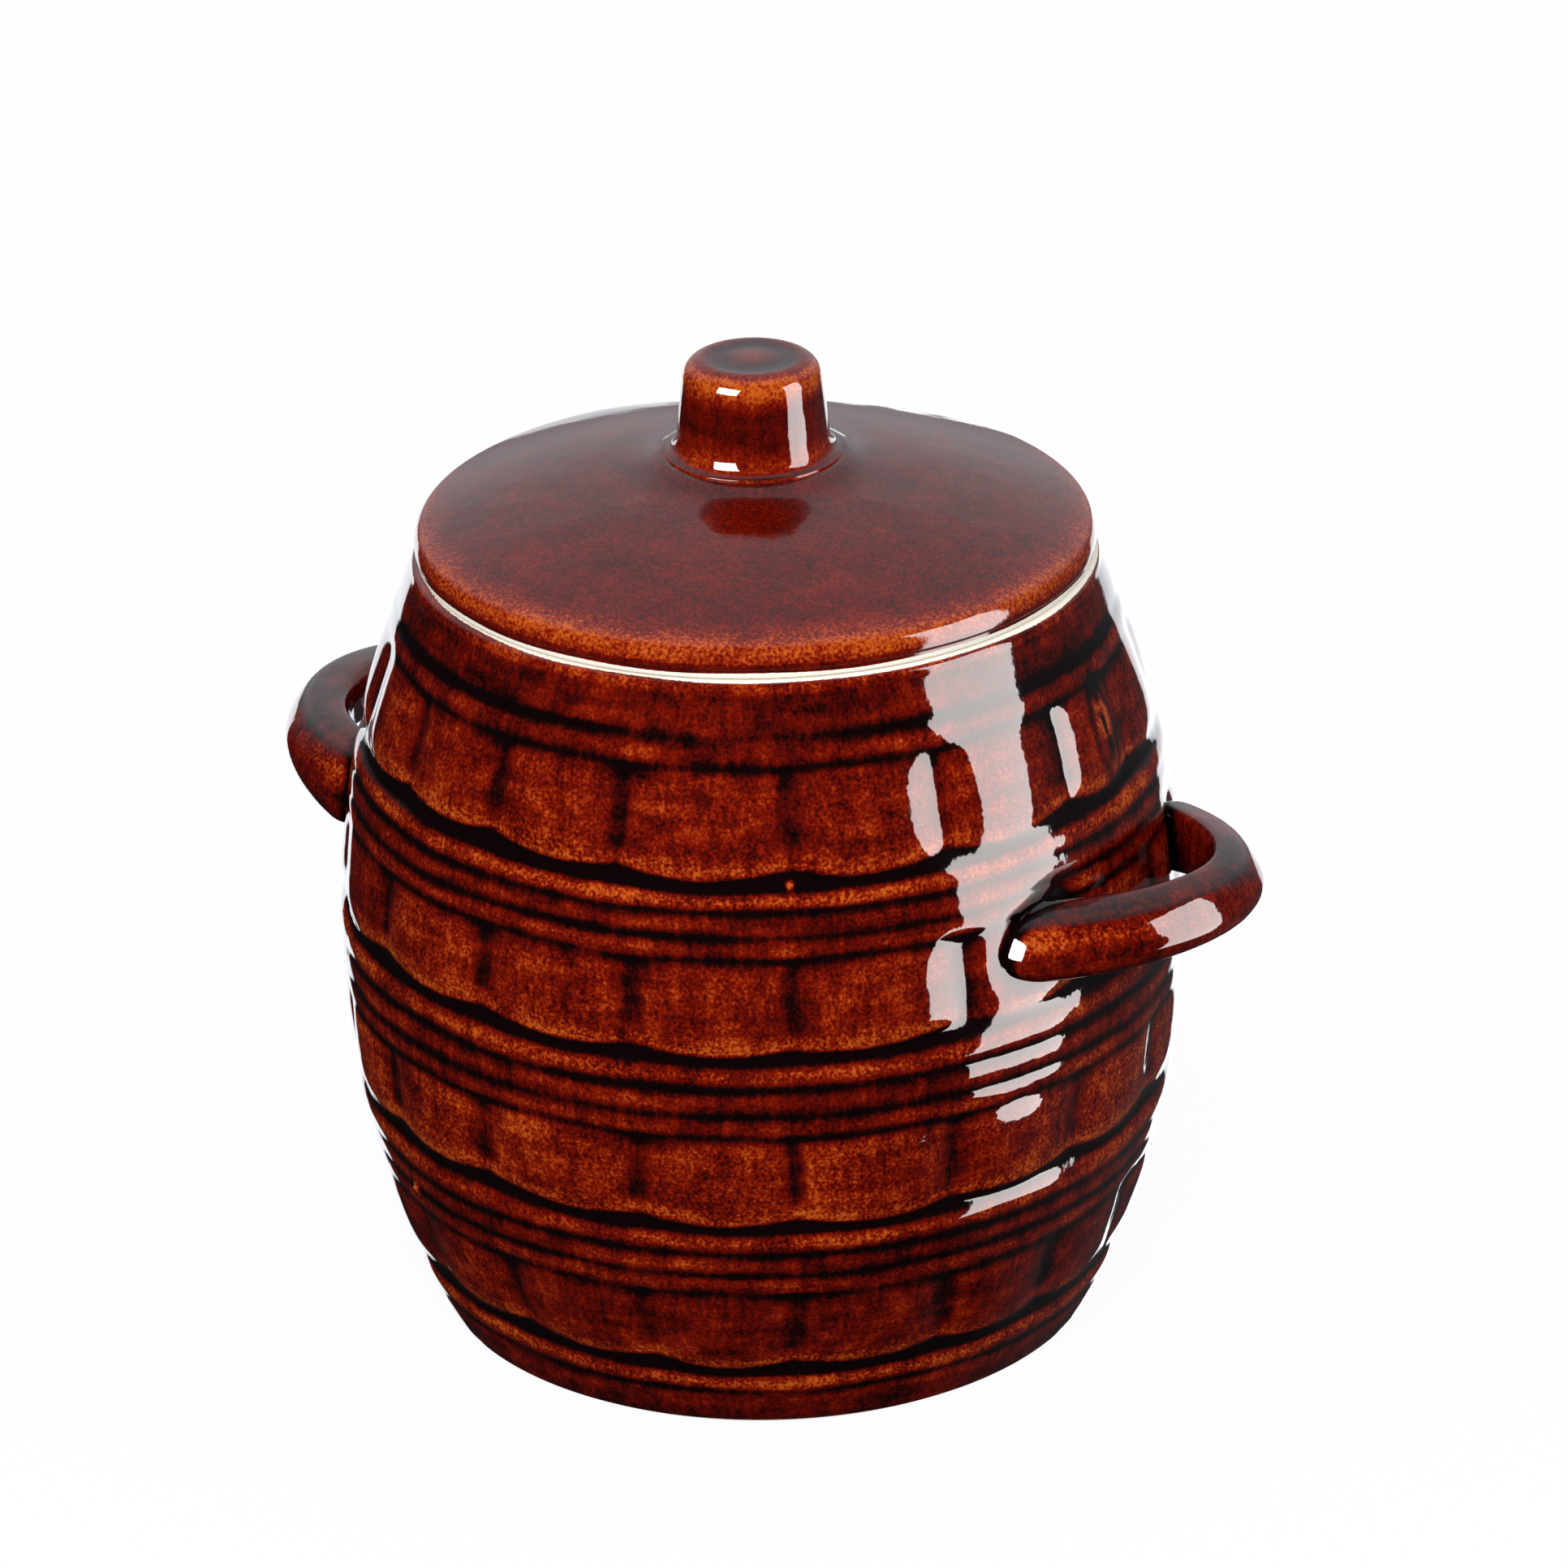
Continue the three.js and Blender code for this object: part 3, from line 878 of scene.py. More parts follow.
    def flow(self, angle: Array, level: Array) -> Array:
        """Where glaze has run to: deep in the pools over the hoops, and thin on the edges above them.

        Args:
            angle: Angles in radians.
            level: Heights in millimetres.

        Returns:
            Thickness added, from about -0.4 on an edge to 1 in a pool.
        """
        added = np.zeros(np.broadcast(angle, level).shape)
        for number, band in enumerate(self.bands):
            held = (level >= band.low.at(angle)) & (level <= band.high.at(angle))
            uneven = wander(angle, 80 + number, FLOW_WAVES, 1.0)
            if band.kind is Course.STAVE:
                gain = self.stave_flow(band, angle, level) + band.tone
            elif band.kind is Course.POOL:
                gain = self.pool_deep + self.pool_uneven * uneven
            else:
                gain = band.tone + self.reed_uneven * uneven
            added = np.where(held, gain, added)
        for spot in self.thick_patches:
            added = added + self.spot(spot, angle, level)
        lens, eye, pits = self.knot(angle, level)
        grain = 0.8 * bell(lens - 1.0, 0.14) - bell(eye - 0.8, 0.35) + 2.0 * pits
        rim = self.bands[-1].low
        groove = self.rim_pool * bell(level - rim.at(angle), self.rim_pool_reach)
        return added + grain + groove * rim.sunk(angle) / rim.depth

    def relief(self, angle: Array, level: Array) -> Array:
        """Height of the wall over its envelope, course by course.

        A reed is an arch: its crest less a power of the way to the groove. A pool is a trough from its
        ledge to the sill of the staves. The mark of a knot is added.

        Args:
            angle: Angles in radians.
            level: Heights in millimetres.

        Returns:
            Heights in millimetres.
        """
        height = np.zeros(np.broadcast(angle, level).shape)
        near = 1e-9
        for band in self.bands:
            low, high = band.low.at(angle), band.high.at(angle)
            share = (level - low) / (high - low)
            low_sunk, high_sunk = band.low.sunk(angle), band.high.sunk(angle)
            if band.kind is Course.STAVE:
                value = self.stave_relief(band, angle, level)
            elif band.kind is Course.POOL:
                value = -low_sunk - (high_sunk - low_sunk) * share - share * (1.0 - share)
            else:
                sunk = np.where(share < 0.5, low_sunk, high_sunk)
                value = band.crest - (band.crest + sunk) * np.abs(2.0 * share - 1.0) ** band.flatness
            height = np.where((share >= -near) & (share <= 1.0 + near), value, height)
        return height + self.knot_relief(angle, level)

    def knot_relief(self, angle: Array, level: Array) -> Array:
        """Mark of a wood knot: a raised lens with a pitted eye, and a swelling of the joint beside it.

        Args:
            angle: Angles in radians.
            level: Heights in millimetres.

        Returns:
            Heights in millimetres.
        """
        lens, eye, pits = self.knot(angle, level)
        mark = 0.1 * smooth(1.2, 0.4, lens) + 0.15 * smooth(1.5, 0.3, eye) - 0.4 * pits
        return mark + self.spot(self.knot_swell, angle, level)

    def knot(self, angle: Array, level: Array) -> tuple[Array, Array, Array]:
        """A knot in the wood of one stave: an ellipse of grain with an eye and pits.

        Args:
            angle: Angles in radians.
            level: Heights in millimetres.

        Returns:
            Reach in the lens of grain and in the eye, 1 on their edges, and the dark pits, from 0 to 1.
        """
        side, up = self.arc_from(angle, 0.0), level - self.knot_level
        lens = np.hypot((side + 0.5) / 4.8, (up + 1.3) / 10.5)
        eye = np.hypot(side / 2.9, (up - 0.6) / 3.6)
        pits = np.zeros_like(lens)
        for aside, above, wide, tall in self.knot_pits:
            pits = pits + bell(np.hypot((side - aside) / wide, (up - above) / tall), 1.0)
        return lens, eye, pits

    def soft_waves(self, angle: Array, level: Array) -> Array:
        """Slow waves of a hand-finished wall: sines that run aslant round it, still at foot and rim.

        Args:
            angle: Angles in radians.
            level: Heights in millimetres.

        Returns:
            Heights in millimetres.
        """
        waves = sum(
            height * np.sin(turns * angle + level / pitch + phase)
            for height, turns, pitch, phase in self.slow_waves
        )
        return waves * smooth(1.0, 9.0, level) * smooth(167.0, 160.0, level)

    def columns(self, level: Array) -> Array:
        """Angles of the grid's columns at each level: they crowd at the staves' joints and at the knot.

        Args:
            level: Heights in millimetres, a column of rows.

        Returns:
            Angles in radians, rows by columns.
        """
        fine = np.linspace(0.0, 1.0, 801)
        count = self.stave_columns
        joint = np.repeat(np.arange(self.staves), count)
        plain = 1.0 + 2.6 * bell(fine, 0.1) + 2.6 * bell(1.0 - fine, 0.1)
        knotted = plain + 4.0 * bell(fine - 0.7, 0.16)
        shares = []
        for weight in (plain, knotted):
            reach = np.cumsum(weight)
            even = (reach - reach[0]) / (reach[-1] - reach[0])
            shares.append(np.tile(np.interp(np.arange(count) / count, even, fine), self.staves))
        share = np.where(joint == self.staves - 1, shares[1], shares[0])
        start = self.joint_angle(joint[None, :], level)
        return start + share[None, :] * (self.joint_angle(joint[None, :] + 1, level) - start)

    def outer_grid(self) -> tuple[Array, Array]:
        """Grid of the wall whose rows follow the grooves and whose columns follow the joints.

        Returns:
            Angles and levels, rows by columns.
        """
        levels = []
        for band in self.bands:
            share = eased(band.rows + 1, 0.45)[:-1, None]
            angle = self.columns(band.low.level + (band.high.level - band.low.level) * share)
            low, high = band.low.at(angle), band.high.at(angle)
            levels.append(low + (high - low) * share)
        level = np.concatenate(levels)
        return self.columns(level), level

    def foot_profile(self) -> Array:
        """Profile under the crock: a shallow recess inside a ring to stand on.

        Returns:
            Points (radius, level) in millimetres, from the middle outwards.
        """
        ring, corner = self.foot - self.stand, self.foot - 2.2
        return np.concatenate([
            line((12.0, self.recess), (ring - 2.0, self.recess), 3),
            line((ring - 2.0, self.recess), (ring, 0.0), 3),
            line((ring, 0.0), (corner, 0.0), 3),
            arc((corner, self.wall_low), 1.7, self.wall_low, -90.0, -12.0, 5),
        ])

    def inner_profile(self) -> Array:
        """Profile from the rim over the seat and the lip down the inside to the floor.

        Returns:
            Points (radius, level) in millimetres.
        """
        out = float(self.envelope(np.array(self.wall_high)))
        lip, low, floor, bowl = self.height - 7.2, 25.0, self.floor_level, 16.0
        depth = np.linspace(lip - 9.0, low, 15)
        hollow = np.stack([self.envelope(depth) - self.wall, depth], axis=-1)
        edge = hollow[-1, 0]
        start, rise = (self.seat_edge, self.wall_high), self.height - self.wall_high
        return np.concatenate([
            arc(start, out - self.seat_edge, rise, 0.0, 90.0, 7),
            line((self.seat_edge - 1.0, self.height), (self.mouth + 1.0, self.height), 3),
            arc((self.mouth + 1.0, self.height - 1.0), 1.0, 1.0, 90.0, 180.0, 4),
            line((self.mouth, self.height - 2.0), (self.mouth, lip), 3),
            line((self.mouth, lip), tuple(hollow[0]), 4),
            hollow[:-1],
            arc((edge - bowl, low), bowl, low - floor, 0.0, -90.0, 8),
            line((edge - 18.0, floor), (8.0, floor), 3),
        ])

    def glazed(self, angle: Array, level: Array) -> tuple[Array, Array]:
        """Surface of the glaze over the clay, and its thickness: it fills hollows and thins over edges.

        The clay's relief is charted on an even grid and blurred at three widths. The glaze lies between the
        sharp relief and the blurred one, and the way up to the wider blurs is the hollow that it runs into.

        Args:
            angle: Angles of the wall's points.
            level: Levels of the wall's points.

        Returns:
            Height of the surface over the envelope, and thickness about 0, in millimetres.
        """
        turns, step = self.chart_turns, self.chart_step
        chart_angle = (np.arange(turns) * 2.0 * np.pi / turns)[:, None]
        chart_level = np.arange(self.wall_low, self.wall_high + step, step)[None, :]
        across, along = turns / (2.0 * np.pi * self.chart_radius), 1.0 / step
        turn, row = angle / (2.0 * np.pi) * turns, (level - self.wall_low) / step
        clay = self.relief(chart_angle, chart_level)
        sharp, soft, wide = (blurred(clay, width * across, width * along) for width in self.blurs)
        height = read_chart(sharp + self.fill * (soft - sharp), turn, row)
        flow = self.flow(chart_angle, chart_level)
        flow = blurred(flow, self.flow_blur * across, self.flow_blur * along)
        hollow = 0.85 * (soft - sharp) + 0.15 * (wide - sharp)
        hollow = blurred(hollow, self.hollow_blur * across, 0.0)
        hollow = np.where(hollow < 0.0, self.edge_gain, 1.0) * hollow
        pool = read_chart(hollow + self.flow_gain * flow, turn, row)
        drops = sum(self.spot(bead, angle, level) for bead in self.beads)
        pool = pool + 0.15 * smooth(10.0, 3.0, level) - 2.0 * drops
        return height + self.soft_waves(angle, level) + 0.9 * drops, pool

    def rim_finish(self, inside: Array, turn: Array) -> tuple[Array, Array]:
        """Glaze inside the rim: thin up to a wavering line, and wiped off the seat above it.

        Args:
            inside: Points (radius, level) of the inner profile.
            turn: Angles of the columns.

        Returns:
            Thickness and bareness, points by columns.
        """
        level = inside[:, 1:]
        lip, edge = 164.0, 0.3
        pool = np.where(level > lip, -0.12 * smooth(lip, 167.5, level), 0.15)
        wiped = self.wiped + 0.3 * np.cos(turn - math.radians(self.wiped_side))
        wiped = wiped + wander(turn, 9, RIM_WAVES, 0.2)
        bare = np.maximum(smooth(-edge, edge, level - wiped), level > self.height - 0.05)
        return pool * np.ones_like(turn), bare

    def build(self, handles: list["Handle"]) -> bpy.types.Object:
        """Builds the body's mesh.

        Args:
            handles: The handles, whose roots gather glaze on the wall.

        Returns:
            The new object.
        """
        angle, level = self.outer_grid()
        height, pool = self.glazed(angle, level)
        radius = self.envelope(level) + height
        wall = round_axis(radius, angle, level)
        for handle in handles:
            away = handle.distance(wall)
            pool = pool + self.root_pool * bell(away, self.root_pool_reach)
            radius = radius - self.root_groove * np.exp(-away / self.root_reach)
        below, inside = self.foot_profile(), self.inner_profile()
        under, over = (self.columns(np.full((1, 1), edge)) for edge in (self.wall_low, self.wall_high))
        points = [
            round_axis(below[:, :1], under, below[:, 1:]),
            round_axis(radius, angle, level),
            round_axis(inside[:, :1], over, inside[:, 1:]),
        ]
        rim, seat = self.rim_finish(inside, over)
        spread = np.ones_like(under)
        standing = (below[:, 1:] < 0.9) & (below[:, :1] > self.foot - self.stand - 0.6)
        fields = {
            THICKNESS: np.concatenate([np.full((len(below), 1), 0.1) * spread, pool, rim]),
            BARENESS: np.concatenate([standing * spread, np.zeros_like(pool), seat]),
        }
        poles = np.array([[0.0, 0.0, self.recess], [0.0, 0.0, self.floor_level]])
        return lay_mesh("barrel_glazed", np.concatenate(points), poles, fields)

    def dress(self, piece: bpy.types.Object) -> None:
        """Glazes the body and seats it."""
        settle(piece, "crock_body", "crock", Glaze("barrel_glaze").material())


# The handles


@dataclass
class Handle:
    """A loop of a bar with a flat top and a sloping outer face, luted to the barrel at both roots.

    Threes of sizes hold the first root, the tip and the second root. The section's faces are pairs of a
    direction, in degrees from outwards over upwards, and a distance from the middle as a share of the half
    width. Shades add an amount of glaze round a direction, over a width in degrees: they darken the top
    face and the underside, and draw a thin dark line along the crease that is a painted reflection edge.
    """

    name: str
    barrel: Barrel
    turned_round: bool
    level: float
    lean: float
    shift: float
    slant: float
    lift: tuple[float, float]
    half_span: float
    inner: tuple[float, float, float]
    outer: tuple[float, float, float]
    tall: tuple[float, float, float]
    projection: float = 22.8
    root_depth: float = 19.0
    loop_power: float = 1.42
    rise_angle: float = 6.5
    nose: float = 6.0
    nose_share: float = 0.8
    faces: tuple[tuple[float, float], ...] = (
        (80.0, 0.96), (32.0, 0.72), (-24.0, 0.98), (-90.0, 0.99), (-140.0, 1.13), (180.0, 0.98),
    )
    sharpness: float = 6.0
    thinned_face: tuple[float, float] = (35.0, 26.0)
    shades: tuple[tuple[float, float, float], ...] = (
        (98.0, 28.0, 0.16), (-90.0, 40.0, 0.3), (70.0, 5.0, 0.2),
    )
    buried: float = 3.8
    seam: float = 0.3
    stations: int = 150
    corners: int = 96

    @staticmethod
    def along_loop(sizes: tuple[float, float, float], turn: Array, soft: float) -> Array:
        """Size along the loop: from the tip's to a root's by the sine of the turn, rounded off at the tip.

        Args:
            sizes: Size at the first root, the tip and the second root.
            turn: Angles along the loop in radians.
            soft: Sine over which the change at the tip is rounded off.

        Returns:
            Sizes in millimetres.
        """
        share = (np.sqrt(np.sin(turn) ** 2 + soft**2) - soft) / (math.sqrt(1.0 + soft**2) - soft)
        return sizes[1] * (1.0 - share) + np.where(turn < 0.0, sizes[0], sizes[2]) * share

    def middle(self, turn: Array) -> Array:
        """Middle line of the bar: a power curve from root to root whose tip may lean and lies highest.

        Args:
            turn: Angles from -90 to 90 degrees, in radians.

        Returns:
            Points in millimetres.
        """
        tip = self.barrel.belly + self.projection - self.outer[1]
        root = self.barrel.belly - self.root_depth
        reach = np.maximum(np.cos(turn), 0.0) ** (2.0 / self.loop_power)
        out = root + (tip - root) * reach
        aside = self.half_span * np.sin(turn) + self.lean * reach + self.shift
        rise = (out - tip) * math.tan(math.radians(self.rise_angle))
        level = self.level + rise - self.slant * np.sin(turn)
        level = level + np.where(turn < 0.0, self.lift[0], self.lift[1]) * np.sin(turn) ** 4
        return np.stack([out, aside, level], axis=-1)

    def section(self, corner: Array) -> tuple[Array, Array]:
        """Section of the bar: the distances to its faces, joined by a power mean that rounds the edges.

        Args:
            corner: Angles round the bar in radians, 0 outwards and a quarter turn upwards.

        Returns:
            Shares outwards and upwards.
        """
        total = np.zeros_like(corner)
        for direction, distance in self.faces:
            facing = np.maximum(np.cos(corner - math.radians(direction)), 0.0)
            total = total + (facing / distance) ** self.sharpness
        reach = total ** (-1.0 / self.sharpness)
        return reach * np.cos(corner), reach * np.sin(corner)

    def surface(self, turn: Array, corner: Array) -> tuple[Array, Array]:
        """Points of the bar: the section carried along the middle line, rounded like a thumb at the barrel.

        Args:
            turn: Angles along the loop.
            corner: Angles round the bar.

        Returns:
            Points in millimetres and their distance from the barrel's envelope.
        """
        limit, step = 0.5 * np.pi, 0.002
        centre = self.middle(turn)
        ahead, back = np.minimum(turn + step, limit), np.maximum(turn - step, -limit)
        along = self.middle(ahead) - self.middle(back)
        along = along / np.maximum(np.hypot(along[..., 0], along[..., 1]), 1e-9)[..., None]
        wide, deep = self.along_loop(self.outer, turn, 1.0), self.along_loop(self.inner, turn, 0.17)
        tall = 0.5 * self.along_loop(self.tall, turn, 1.0)
        clear = self.clearance(self.carry(centre, along, wide, 0.0 * wide))
        nose = np.sqrt(1.0 - self.nose_share * np.clip(1.0 - clear / self.nose, 0.0, 1.0) ** 2)
        out, rise = self.section(corner)
        out = np.where(out > 0.0, wide, deep) * out
        points = self.carry(centre, along, nose * out, nose * tall * rise)
        return points, self.clearance(points)

    def clearance(self, points: Array) -> Array:
        """Distance of points from the barrel's envelope, along the radius."""
        return np.hypot(points[..., 0], points[..., 1]) - self.barrel.envelope(points[..., 2])

    @staticmethod
    def carry(centre: Array, along: Array, out: Array, rise: Array) -> Array:
        """Places the section at the middle line: outwards is square to the line, upwards is up."""
        return centre + np.stack([along[..., 1] * out, -along[..., 0] * out, rise], axis=-1)

    def cut(self, depth: float) -> tuple[Array, Array, Array]:
        """Cuts each line of the bar off where it goes deeper into the barrel's envelope than a depth.

        Args:
            depth: Depth in millimetres.

        Returns:
            Angle round the bar of each line, and the first and last angle along the loop that it keeps.
        """
        corner = np.linspace(0.0, 2.0 * np.pi, self.corners, endpoint=False)[None, :]
        fine = np.linspace(-0.5 * np.pi, 0.5 * np.pi, 1601)[:, None]
        clear = self.surface(fine + 0.0 * corner, corner + 0.0 * fine)[1] > -depth
        start = fine[np.argmax(clear, axis=0), 0]
        end = fine[len(fine) - 1 - np.argmax(clear[::-1], axis=0), 0]
        return corner, start[None, :], end[None, :]

    def grid(self) -> tuple[Array, Array, Array, Array]:
        """Grid of the bar, cut off a little inside the wall of the barrel.

        Returns:
            Points, their distance from the barrel, and their angles along the loop and round the bar.
        """
        corner, start, end = self.cut(self.buried)
        turn = start + (end - start) * eased(self.stations, 0.6)[:, None]
        corner = corner + 0.0 * turn
        return *self.surface(turn, corner), turn, corner

    def placed(self, points: Array) -> Array:
        """Turns points half round the axis for the handle on the far side."""
        return points * np.array([-1.0, -1.0, 1.0]) if self.turned_round else points

    def distance(self, wall: Array) -> Array:
        """Distance of points on the barrel from the seams where the bar's roots meet it, in millimetres.

        Args:
            wall: Points of the barrel's wall.

        Returns:
            Distance from the nearest of a row of points along the seams.
        """
        corner, start, end = self.cut(self.seam)
        seams = np.concatenate([self.surface(turn, corner)[0][0] for turn in (start, end)])
        nearest = np.full(wall.shape[:-1], 1e6)
        for point in self.placed(seams):
            nearest = np.minimum(nearest, np.linalg.norm(wall - point, axis=-1))
        return nearest

    def build(self) -> bpy.types.Object:
        """Builds the handle's mesh.

        Returns:
            The new object.
        """
        points, gap, turn, corner = self.grid()
        gathered = 1.4 * np.exp(-np.maximum(gap + 0.6, 0.0) / 0.6)
        # Glaze made thinner, so lighter amber, on the upper outer face, most near the roots.
        thinned = (0.04 + 0.36 * np.sin(turn) ** 2) * self.facing(corner, *self.thinned_face)
        pool = gathered - thinned
        # Top face and underside made darker; the narrow crease entry is a painted reflection edge, a dark
        # line.
        for direction, width, amount in self.shades:
            pool = pool + amount * self.facing(corner, direction, width)
        points = self.placed(points[::-1])
        poles = np.stack([points[0].mean(0), points[-1].mean(0)])
        fields = {THICKNESS: pool[::-1], BARENESS: np.zeros_like(pool)}
        return lay_mesh(self.name + "_glazed", points, poles, fields)

    @staticmethod
    def facing(corner: Array, direction: float, width: float) -> Array:
        """How near angles round the bar are to a direction, as a bell with a width, both in degrees."""
        return bell(turn_off(corner, direction), math.radians(width))

    def dress(self, piece: bpy.types.Object) -> None:
        """Glazes the handle and seats it."""
        glaze = Glaze(self.name + "_glaze", base=0.54, cloud=0.8)
        settle(piece, self.name, "crock", glaze.material())


# The lid and its knob


@dataclass
class Lid:
    """Domed plate with a rolled edge, a bare seat and a flange that drops into the mouth."""

    seat: float = 168.5
    radius: float = 70.3
    tuck: float = 69.9
    edge_height: float = 6.9
    bead: float = 3.0
    bead_rise: float = 4.4
    dome_radius: float = 68.2
    pad_radius: float = 19.4
    rise: float = 11.9
    fillet: float = 2.1
    fillet_reach: float = 2.8
    roundness: float = 0.59
    thickness: float = 7.0
    flange_outer: float = 60.1
    flange_inner: float = 55.1
    flange_depth: float = 8.6
    thin_side: float = -60.0
    edge_zone: float = 64.0
    columns: int = 260

    def dome(self, radius: Array) -> Array:
        """Level of the dome: it falls from the pad by a mix of a line and a square, over a fading fillet.

        Args:
            radius: Radii in millimetres.

        Returns:
            Levels in millimetres.
        """
        away = np.maximum(radius - self.pad_radius, 0.0)
        share = away / (self.dome_radius - self.pad_radius)
        fall = (1.0 - self.roundness) * share + self.roundness * share**2
        fillet = self.fillet * np.exp(-away / self.fillet_reach)
        return self.seat + self.edge_height + self.rise * (1.0 - fall) + fillet

    def profile(self) -> Array:
        """Points (radius, level) from the axis below, round the flange and the edge, to the axis above.

        Returns:
            The profile in millimetres.
        """
        low = self.seat - self.flange_depth
        under = np.linspace(0.0, self.flange_inner - 1.5, 14)
        inner_top = self.dome(np.array(self.flange_inner)) - self.thickness - 1.0
        roll, low_turn, high_turn = self.radius - self.bead, -7.0, 75.0
        join = roll + self.bead * math.cos(math.radians(high_turn))
        roll_level = float(self.dome(np.array(join))) - self.bead_rise * math.sin(math.radians(high_turn))
        over = np.linspace(join - 0.8, self.pad_radius - 4.0, 46)
        top = self.dome(over)
        start = arc((roll, roll_level), self.bead, self.bead_rise, low_turn, high_turn, 16)
        return np.concatenate([
            np.stack([under, self.dome(under) - self.thickness], axis=-1),
            line((self.flange_inner, inner_top), (self.flange_inner, low + 1.0), 5),
            arc((self.flange_inner + 1.0, low + 1.0), 1.0, 1.0, 180.0, 270.0, 4),
            arc((self.flange_outer - 1.0, low + 1.0), 1.0, 1.0, -90.0, 0.0, 4),
            line((self.flange_outer, low + 2.0), (self.flange_outer, self.seat - 0.6), 4),
            arc((self.flange_outer + 0.6, self.seat - 0.6), 0.6, 0.6, 180.0, 90.0, 3),
            line((self.flange_outer + 1.4, self.seat), (self.tuck - 0.5, self.seat), 3),
            arc((self.tuck - 0.5, self.seat + 0.5), 0.5, 0.5, -90.0, 0.0, 4),
            line((self.tuck, self.seat + 0.8), (self.tuck + 0.1, start[0, 1] - 0.2), 8),
            line((self.tuck + 0.1, start[0, 1] - 0.2), tuple(start[0]), 2),
            start,
            np.stack([over, top], axis=-1),
            np.array([[8.0, top[-1]], [0.0, top[-1]]]),
        ])

    def build(self) -> bpy.types.Object:
        """Builds the lid's mesh.

        Returns:
            The new object.
        """
        profile = self.profile()
        radius, level = profile.T
        above, edge = level > self.dome(radius) - 3.0, radius > self.edge_zone
        pool = 0.6 * profile_pool(profile, 1.8) * edge + 0.14 * smooth(173.5, 171.5, level) * edge
        pool = pool + above * 0.1 * bell(radius - self.pad_radius - 1.0, 4.0)
        turn = np.linspace(0.0, 2.0 * np.pi, self.columns, endpoint=False)
        thin = 0.16 + 0.1 * np.cos(turn - math.radians(self.thin_side))
        pool = pool[:, None] - (above * smooth(61.0, 68.0, radius))[:, None] * thin[None, :]
        limit = self.seat + 1.25 + wander(turn, 5, LID_WAVES, 0.4)[None, :]
        wiped = smooth(0.3, -0.3, level[:, None] - limit) * (radius > self.flange_outer - 0.2)[:, None]
        flange = (level < self.seat - 2.0) & (radius > self.flange_inner - 0.2)
        return turned("lid_glazed", profile, self.columns, pool, np.maximum(wiped, flange[:, None]))

    def dress(self, piece: bpy.types.Object) -> None:
        """Glazes the lid and seats it."""
        glaze = Glaze("lid_glaze", base=0.54, mottle=0.6, cloud=0.3, streak=0.25, polish=0.07)
        settle(piece, "lid", "lid", glaze.material())


@dataclass
class Knob:
    """Short cone on a flared foot, with a rounded upper edge and a shallow ring sunk in its top."""

    base: float = 189.0
    top: float = 210.0
    foot: float = 18.4
    neck: float = 15.6
    crown: float = 14.4
    flare: float = 5.0
    lip: float = 0.45
    edge: float = 4.4
    columns: int = 160

    def profile(self) -> Array:
        """Points (radius, level) from the axis below, round the foot and up the cone, to the axis above.

        Returns:
            The profile in millimetres.
        """
        middle, inset = (self.foot, self.base + 0.9 + self.flare), self.crown - self.edge
        flare = arc(middle, self.foot - self.neck, self.flare, 268.0, 180.0, 14)
        shoulder = arc((inset, self.top - self.edge), self.edge, self.edge, 0.0, 88.0, 14)
        over = np.linspace(inset - 0.6, 0.0, 16)
        dish = 0.22 * bell(over - 6.5, 3.4)
        return np.concatenate([
            np.array([[0.0, self.base], [self.foot - 1.0, self.base]]),
            arc((self.foot - self.lip, self.base + self.lip), self.lip, self.lip, -90.0, 40.0, 4),
            flare,
            line(tuple(flare[-1] + np.array([-0.06, 0.6])), tuple(shoulder[0]), 14),
            shoulder,
            np.stack([over, self.top - dish], axis=-1),
        ])

    def build(self) -> bpy.types.Object:
        """Builds the knob's mesh.

        Returns:
            The new object.
        """
        profile = self.profile()
        radius, level = profile.T
        up = level - self.base
        side, dished = level < self.top - 0.6, level > self.top - 1.2
        pool = 0.7 * profile_pool(profile, 1.6) + 0.45 * bell(radius - 7.0, 3.4) * dished
        pool = pool + side * (0.2 * bell(up - 10.5, 4.5) - 0.3 * smooth(202.0, 208.0, level))
        pool = pool - 0.25 * bell(up - 3.0, 2.4) * side + 0.5 * smooth(1.9, 0.6, up)
        return turned("knob_glazed", profile, self.columns, pool[:, None], np.zeros((len(pool), 1)))

    def dress(self, piece: bpy.types.Object) -> None:
        """Glazes the knob and seats it."""
        glaze = Glaze("knob_glaze", base=0.45, mottle=0.55, cloud=0.4, streak=0.4)
        settle(piece, "lid_knob", "lid", glaze.material())


# Studio


class Seen(Enum):
    """What a lamp shows itself to."""

    MATT = auto()
    GLOSS = auto()


@dataclass(frozen=True)
class Lamp:
    """A soft box, placed round the crock as seen from the camera."""

    name: str
    azimuth: float
    elevation: float
    distance: float
    width: float
    height: float
    watts: float
    seen: Seen
    tint: tuple = (1.0, 1.0, 1.0)
    only: tuple[str, ...] = ()


